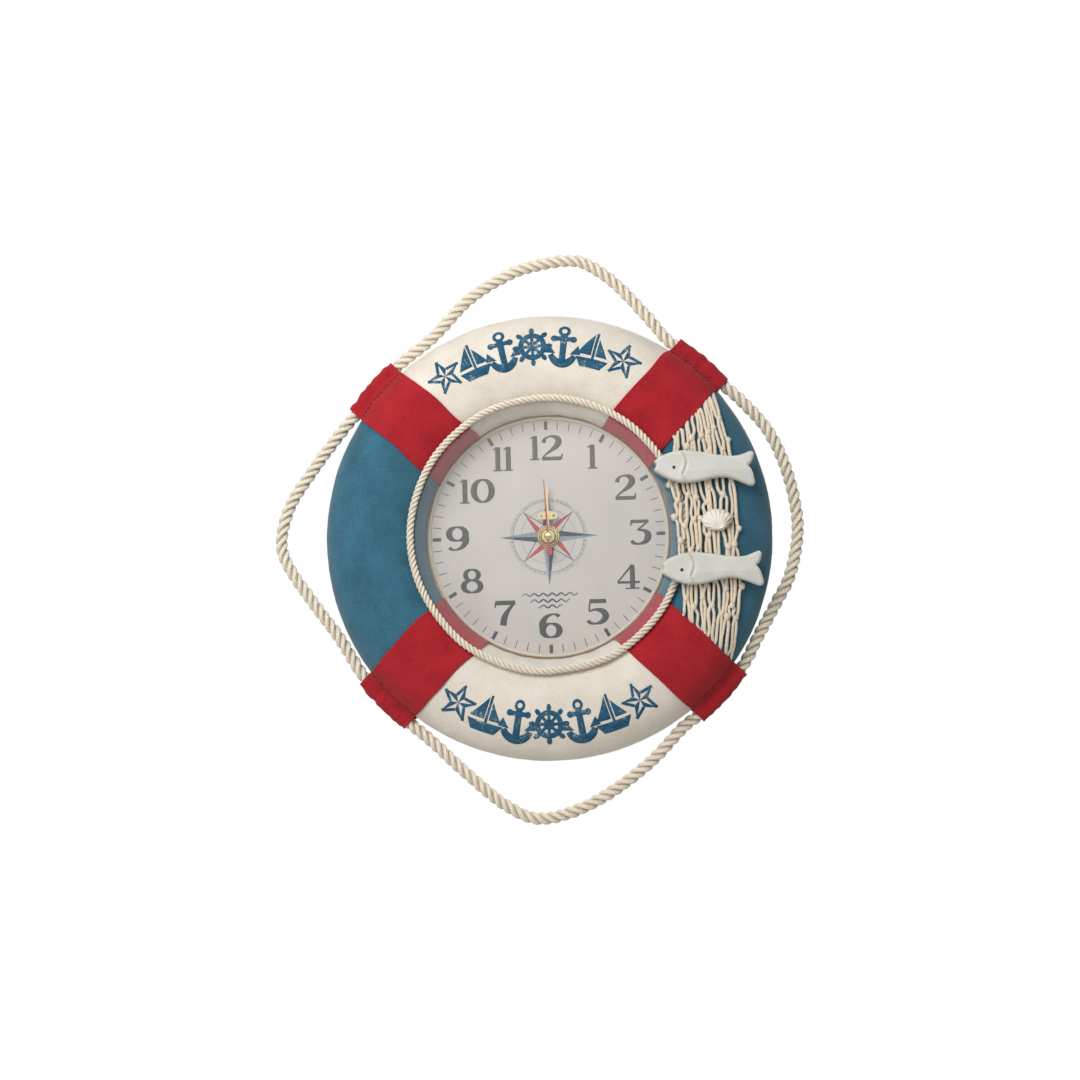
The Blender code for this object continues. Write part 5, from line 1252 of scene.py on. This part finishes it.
# steel plated with brass: a little darker, and its reflections are less sharp
handBrass = twoTone("brassedSteel", "#E6D3A1", "#DCC791", 2500.0, 0.004, Metallic=1.0, Roughness=0.35)
finishes = {
    # expanded foam: white, matt and finely beaded
    "foam": twoTone("expandedFoam", "#F0F0EA", "#E2E2DA", 500.0, 0.4, Roughness=0.95),
    "clear_pane": clearGlass("clearFloatGlass"),
    # coated card printed a warm grey: matt, faintly clouded, smoother than paper
    "printed_card": twoTone("coatedDialCard", "#C9C2BD", "#C1BAB5", 22.0, 0.02, Roughness=0.6),
    # pressed fibre board: brown and matt, with short upright streaks of fibre
    "fibre_board": twoTone("pressedFibreBoard", "#9A7B58", "#7F6244", 700.0, 0.15, Roughness=0.9,
                           stretch=(1.0, 1.0, 0.35)),
    # galvanised steel: grey with a dull shine, clouded by the zinc
    "zinc_steel": twoTone("galvanisedSteel", "#C4C6C8", "#A9ACAF", 160.0, 0.03, Metallic=1.0, Roughness=0.38),
    # rubber: black and dull, a little rough
    "black_rubber": twoTone("blackRubber", "#202022", "#161618", 900.0, 0.05, Roughness=0.8),
    "polished_brass": brass,
    # red enamel on thin metal: smooth and half glossy
    "red_paint": twoTone("redEnamel", "#B43A37", "#A8332F", 1500.0, 0.01, Roughness=0.35),
    # moulded black plastic: satin, with the mould's fine grain
    "black_plastic": twoTone("mouldedBlackPlastic", "#1B1B1D", "#141416", 1500.0, 0.05, Roughness=0.5),
    # moulded acetal: milky white and satin, and a little light gets into it
    "white_plastic": twoTone("mouldedWhiteAcetal", "#E2E2DC", "#D6D6CF", 300.0, 0.02, Roughness=0.4,
                             Subsurface_Weight=0.1),
    # sintered magnet: a dark grey metal with a dull shine
    "magnet": twoTone("sinteredMagnet", "#5A5A60", "#3F3F45", 900.0, 0.03, Metallic=1.0, Roughness=0.45),
    "copper_wire": copperWinding("enamelledCopperWire"),
    # solder mask on glass fibre: green and satin
    "green_board": twoTone("greenSolderMask", "#1F6B3E", "#185731", 400.0, 0.04, Roughness=0.4),
    "cell_sleeve": cellSleeve("printedCellSleeve"),
}
slotOf = {part["node"]: part["material_slot"] for part in frame["record"]["subparts"]}
for node, piece in nodes.items():
    finish = handBrass if node in ("hour_hand", "minute_hand") else finishes.get(slotOf.get(node))
    if finish:
        for place in piece.material_slots:
            place.material = finish
addWasher()
addNut()
addCap(brass)
addGlueBead()
print("finishes given to the parts that keep their shape")

# ---- sewing ----

sewing = {"thread": 0.75, "bow": 0.45, "seamPitch": 4.6, "seamReach": 2.1, "lean": 0.45, "bandRoom": 1.5,
          "bandPitch": 3.3, "bandStitch": 2.3, "sink": 0.55}
# cotton sewing thread in the cloth's colours: matt and finely mottled
threads = {
    "white": twoTone("whiteCottonThread", "#E2DBCD", "#CFC6B4", 1800.0, 0.08, Roughness=0.9),
    "blue": twoTone("blueCottonThread", "#2F5C70", "#274D60", 1800.0, 0.08, Roughness=0.9),
    "red": twoTone("redCottonThread", "#A3272E", "#8B1F26", 1800.0, 0.08, Roughness=0.85),
}


def stitch(start, end, out):
    # a bead of thread: centre = start + (end - start) t + out bow sin(pi t), radius = half (1 - (2t - 1)^4)
    t = np.linspace(0, 1, 7)[:, None]
    start, end, out = (np.asarray(p, float) for p in (start, end, out))
    side = np.cross(unit(end - start), out)
    middle = start + (end - start) * t + out * sewing["bow"] * np.sin(math.pi * t)
    rings = tubeRings(middle, side[None], out[None], sewing["thread"] / 2 * (1 - (2 * t - 1) ** 4), 6)
    return gridSurface("stitch", allOnFace(rings), wrapColumns=True)


def addStitches(name, stitches, dye):
    addPiece(name, closeMesh(joinMeshes(name, stitches)), "clock", threads[dye])


def addSeams(colour):
    # the covers meet behind the ring, and whip stitches lean across the seam
    room = (band["width"] / 2 + sewing["bandRoom"]) / ring["centre"]
    stitches = []
    for _, first, last, dye, _ in covers["sheets"].values():
        start, end = np.radians(gapBetween(first, last))
        count = round((end - start - 2 * room) * ring["centre"] / sewing["seamPitch"])
        for w in np.linspace(start + room, end - room, count) if dye == colour else ():
            ends = []
            for side in (-1, 1):
                r = ring["centre"] + side * sewing["seamReach"]
                a = w + side * sewing["lean"] * sewing["seamPitch"] / ring["centre"]
                ends.append((r * math.cos(a), ring["flatBack"] - 0.1, r * math.sin(a)))
            stitches.append(stitch(*ends, (0.0, -1.0, 0.0)))
    addStitches(colour + "SeamStitches", stitches, colour)


def addBandStitches():
    # a row of running stitches holds each sleeve to the ring's side of the rope
    path, lengths, out = bandPath()
    front = (path[:, 1] > ring["middle"]) & (lengths > 100)
    row = np.argmin(np.where(front, np.abs(path[:, 0] - band["stitchAt"]), 99.0))
    radius, depth = path[row] - sewing["sink"] * out[row]
    count = int(band["width"] / sewing["bandPitch"])
    stitches = []
    for w in np.radians(list(covers["bandAngles"].values())):
        outwards = (out[row, 0] * math.cos(w), out[row, 1], out[row, 0] * math.sin(w))
        for k in range(count):
            across = (k - (count - 1) / 2) * sewing["bandPitch"]
            stitches.append(stitch(*(acrossBand(radius, depth, across + side * sewing["bandStitch"], w)
                                     for side in (-0.5, 0.5)), outwards))
    addStitches("bandStitches", stitches, "red")


addSeams("white")
addSeams("blue")
addBandStitches()
print("seams sewn")

# ---- stage, lamps and world ----

stage = {"floorDrop": 640.0, "floorRadius": 1100.0, "fadeFrom": 250.0, "fadeTo": 700.0}
# x, depth, z, size, watts, and whether the object mirrors it: the key lamp would veil the dial in the pane
lampAim = 30.0  # the depth of the point on the hands' axis that the lamps face
lamps = {"keySoftbox": (-230.0, 740.0, 370.0, 500.0, 5.9, False),
         "fillSoftbox": (-1000.0, 1000.0, 0.0, 1000.0, 2.2, True),
         "backSoftbox": (300.0, -1100.0, 700.0, 900.0, 10.0, True)}


def addStage():
    # a disc of floor under the clock, shaded in the middle, which turns as white as the backdrop further out
    t, r = circle(48), stage["floorRadius"] * np.linspace(0, 1, 3)[:, None]
    points = onFace(r * np.sin(t), r * np.cos(t), -stage["floorDrop"])
    floor = closeMesh(gridSurface("studioFloor", points, wrapColumns=True))
    piece = linked("studioFloor", floor)
    material, tree = startMaterial("paleStudioFloor", Roughness=0.8)
    place = objectPlace(tree)
    dress(tree, noise(tree, place, 14.0), [(0.3, "#E9E8E6"), (0.7, "#EFEEEC")])
    level = addNode(tree, "VectorMath", {0: place, 1: (1.0, 1.0, 0.0)}, operation="MULTIPLY")
    away = addNode(tree, "VectorMath", {0: level}, out="Value", operation="LENGTH")
    far = addNode(tree, "MapRange", {0: away, 1: stage["fadeFrom"] * mm, 2: stage["fadeTo"] * mm},
                  interpolation_type="SMOOTHSTEP")
    share = maths(tree, "MULTIPLY", far, addNode(tree, "LightPath", out="Is Camera Ray"))
    mixOver(tree, share, addNode(tree, "Emission", {"Strength": 1.0}))
    floor.materials.append(material)


def addLamp(name, x, depth, z, size, watts, mirrored):
    data = bpy.data.lights.new(name, "AREA")
    data.shape = "SQUARE"
    data.size = size * mm
    data.energy = watts
    lamp = linked(name, data)
    lamp.location = onFace(x, depth, z)
    toObject = Vector(onFace(0.0, lampAim, 0.0)) - lamp.location
    lamp.rotation_mode = "QUATERNION"
    lamp.rotation_quaternion = toObject.to_track_quat("-Z", "Y")
    lamp.visible_transmission = False  # its light passes the pane as shadow rays, and would count twice
    lamp.visible_glossy = mirrored


def addWorld():
    # camera and glass rays see plain white, and mirrors a white that greys towards the ground, so that metal
    # and the pane keep some shape; everything else gets a dimmer soft fill
    world = bpy.data.worlds.new("studio")
    bpy.context.scene.world = world
    world.use_nodes = True
    world.cycles.sampling_method = "NONE"  # or its light would count twice behind the pane
    tree = world.node_tree
    tree.nodes.clear()
    rays = addNode(tree, "LightPath", out=None)
    seen = maths(tree, "MAXIMUM", rays["Is Camera Ray"], rays["Is Glossy Ray"])
    seen = maths(tree, "MAXIMUM", seen, rays["Is Transmission Ray"])
    seen = maths(tree, "MULTIPLY", seen, maths(tree, "LESS_THAN", rays["Diffuse Depth"], 0.5))
    upward = addNode(tree, "SeparateXYZ", {0: addNode(tree, "TexCoord", out="Generated")}, out="Z")
    level = addNode(tree, "MapRange", {0: upward, 1: -0.3, 2: 0.3, 3: 0.3, 4: 2.0})
    plainly = maths(tree, "SUBTRACT", 1.0, rays["Is Glossy Ray"])
    strength = addNode(tree, "Mix", {0: plainly, 2: level, 3: 1.0})
    fill = addNode(tree, "Background", {"Color": hexColour("#FFFDFA"), "Strength": 0.3})
    white = addNode(tree, "Background", {"Color": (1.0, 1.0, 1.0, 1.0), "Strength": strength})
    addNode(tree, "OutputWorld", {0: addNode(tree, "MixShader", {0: seen, 1: fill, 2: white})})


addStage()
for name, values in lamps.items():
    addLamp(name, *values)
addWorld()
bpy.context.scene.view_settings.view_transform = "Standard"
print("stage and lamps set")
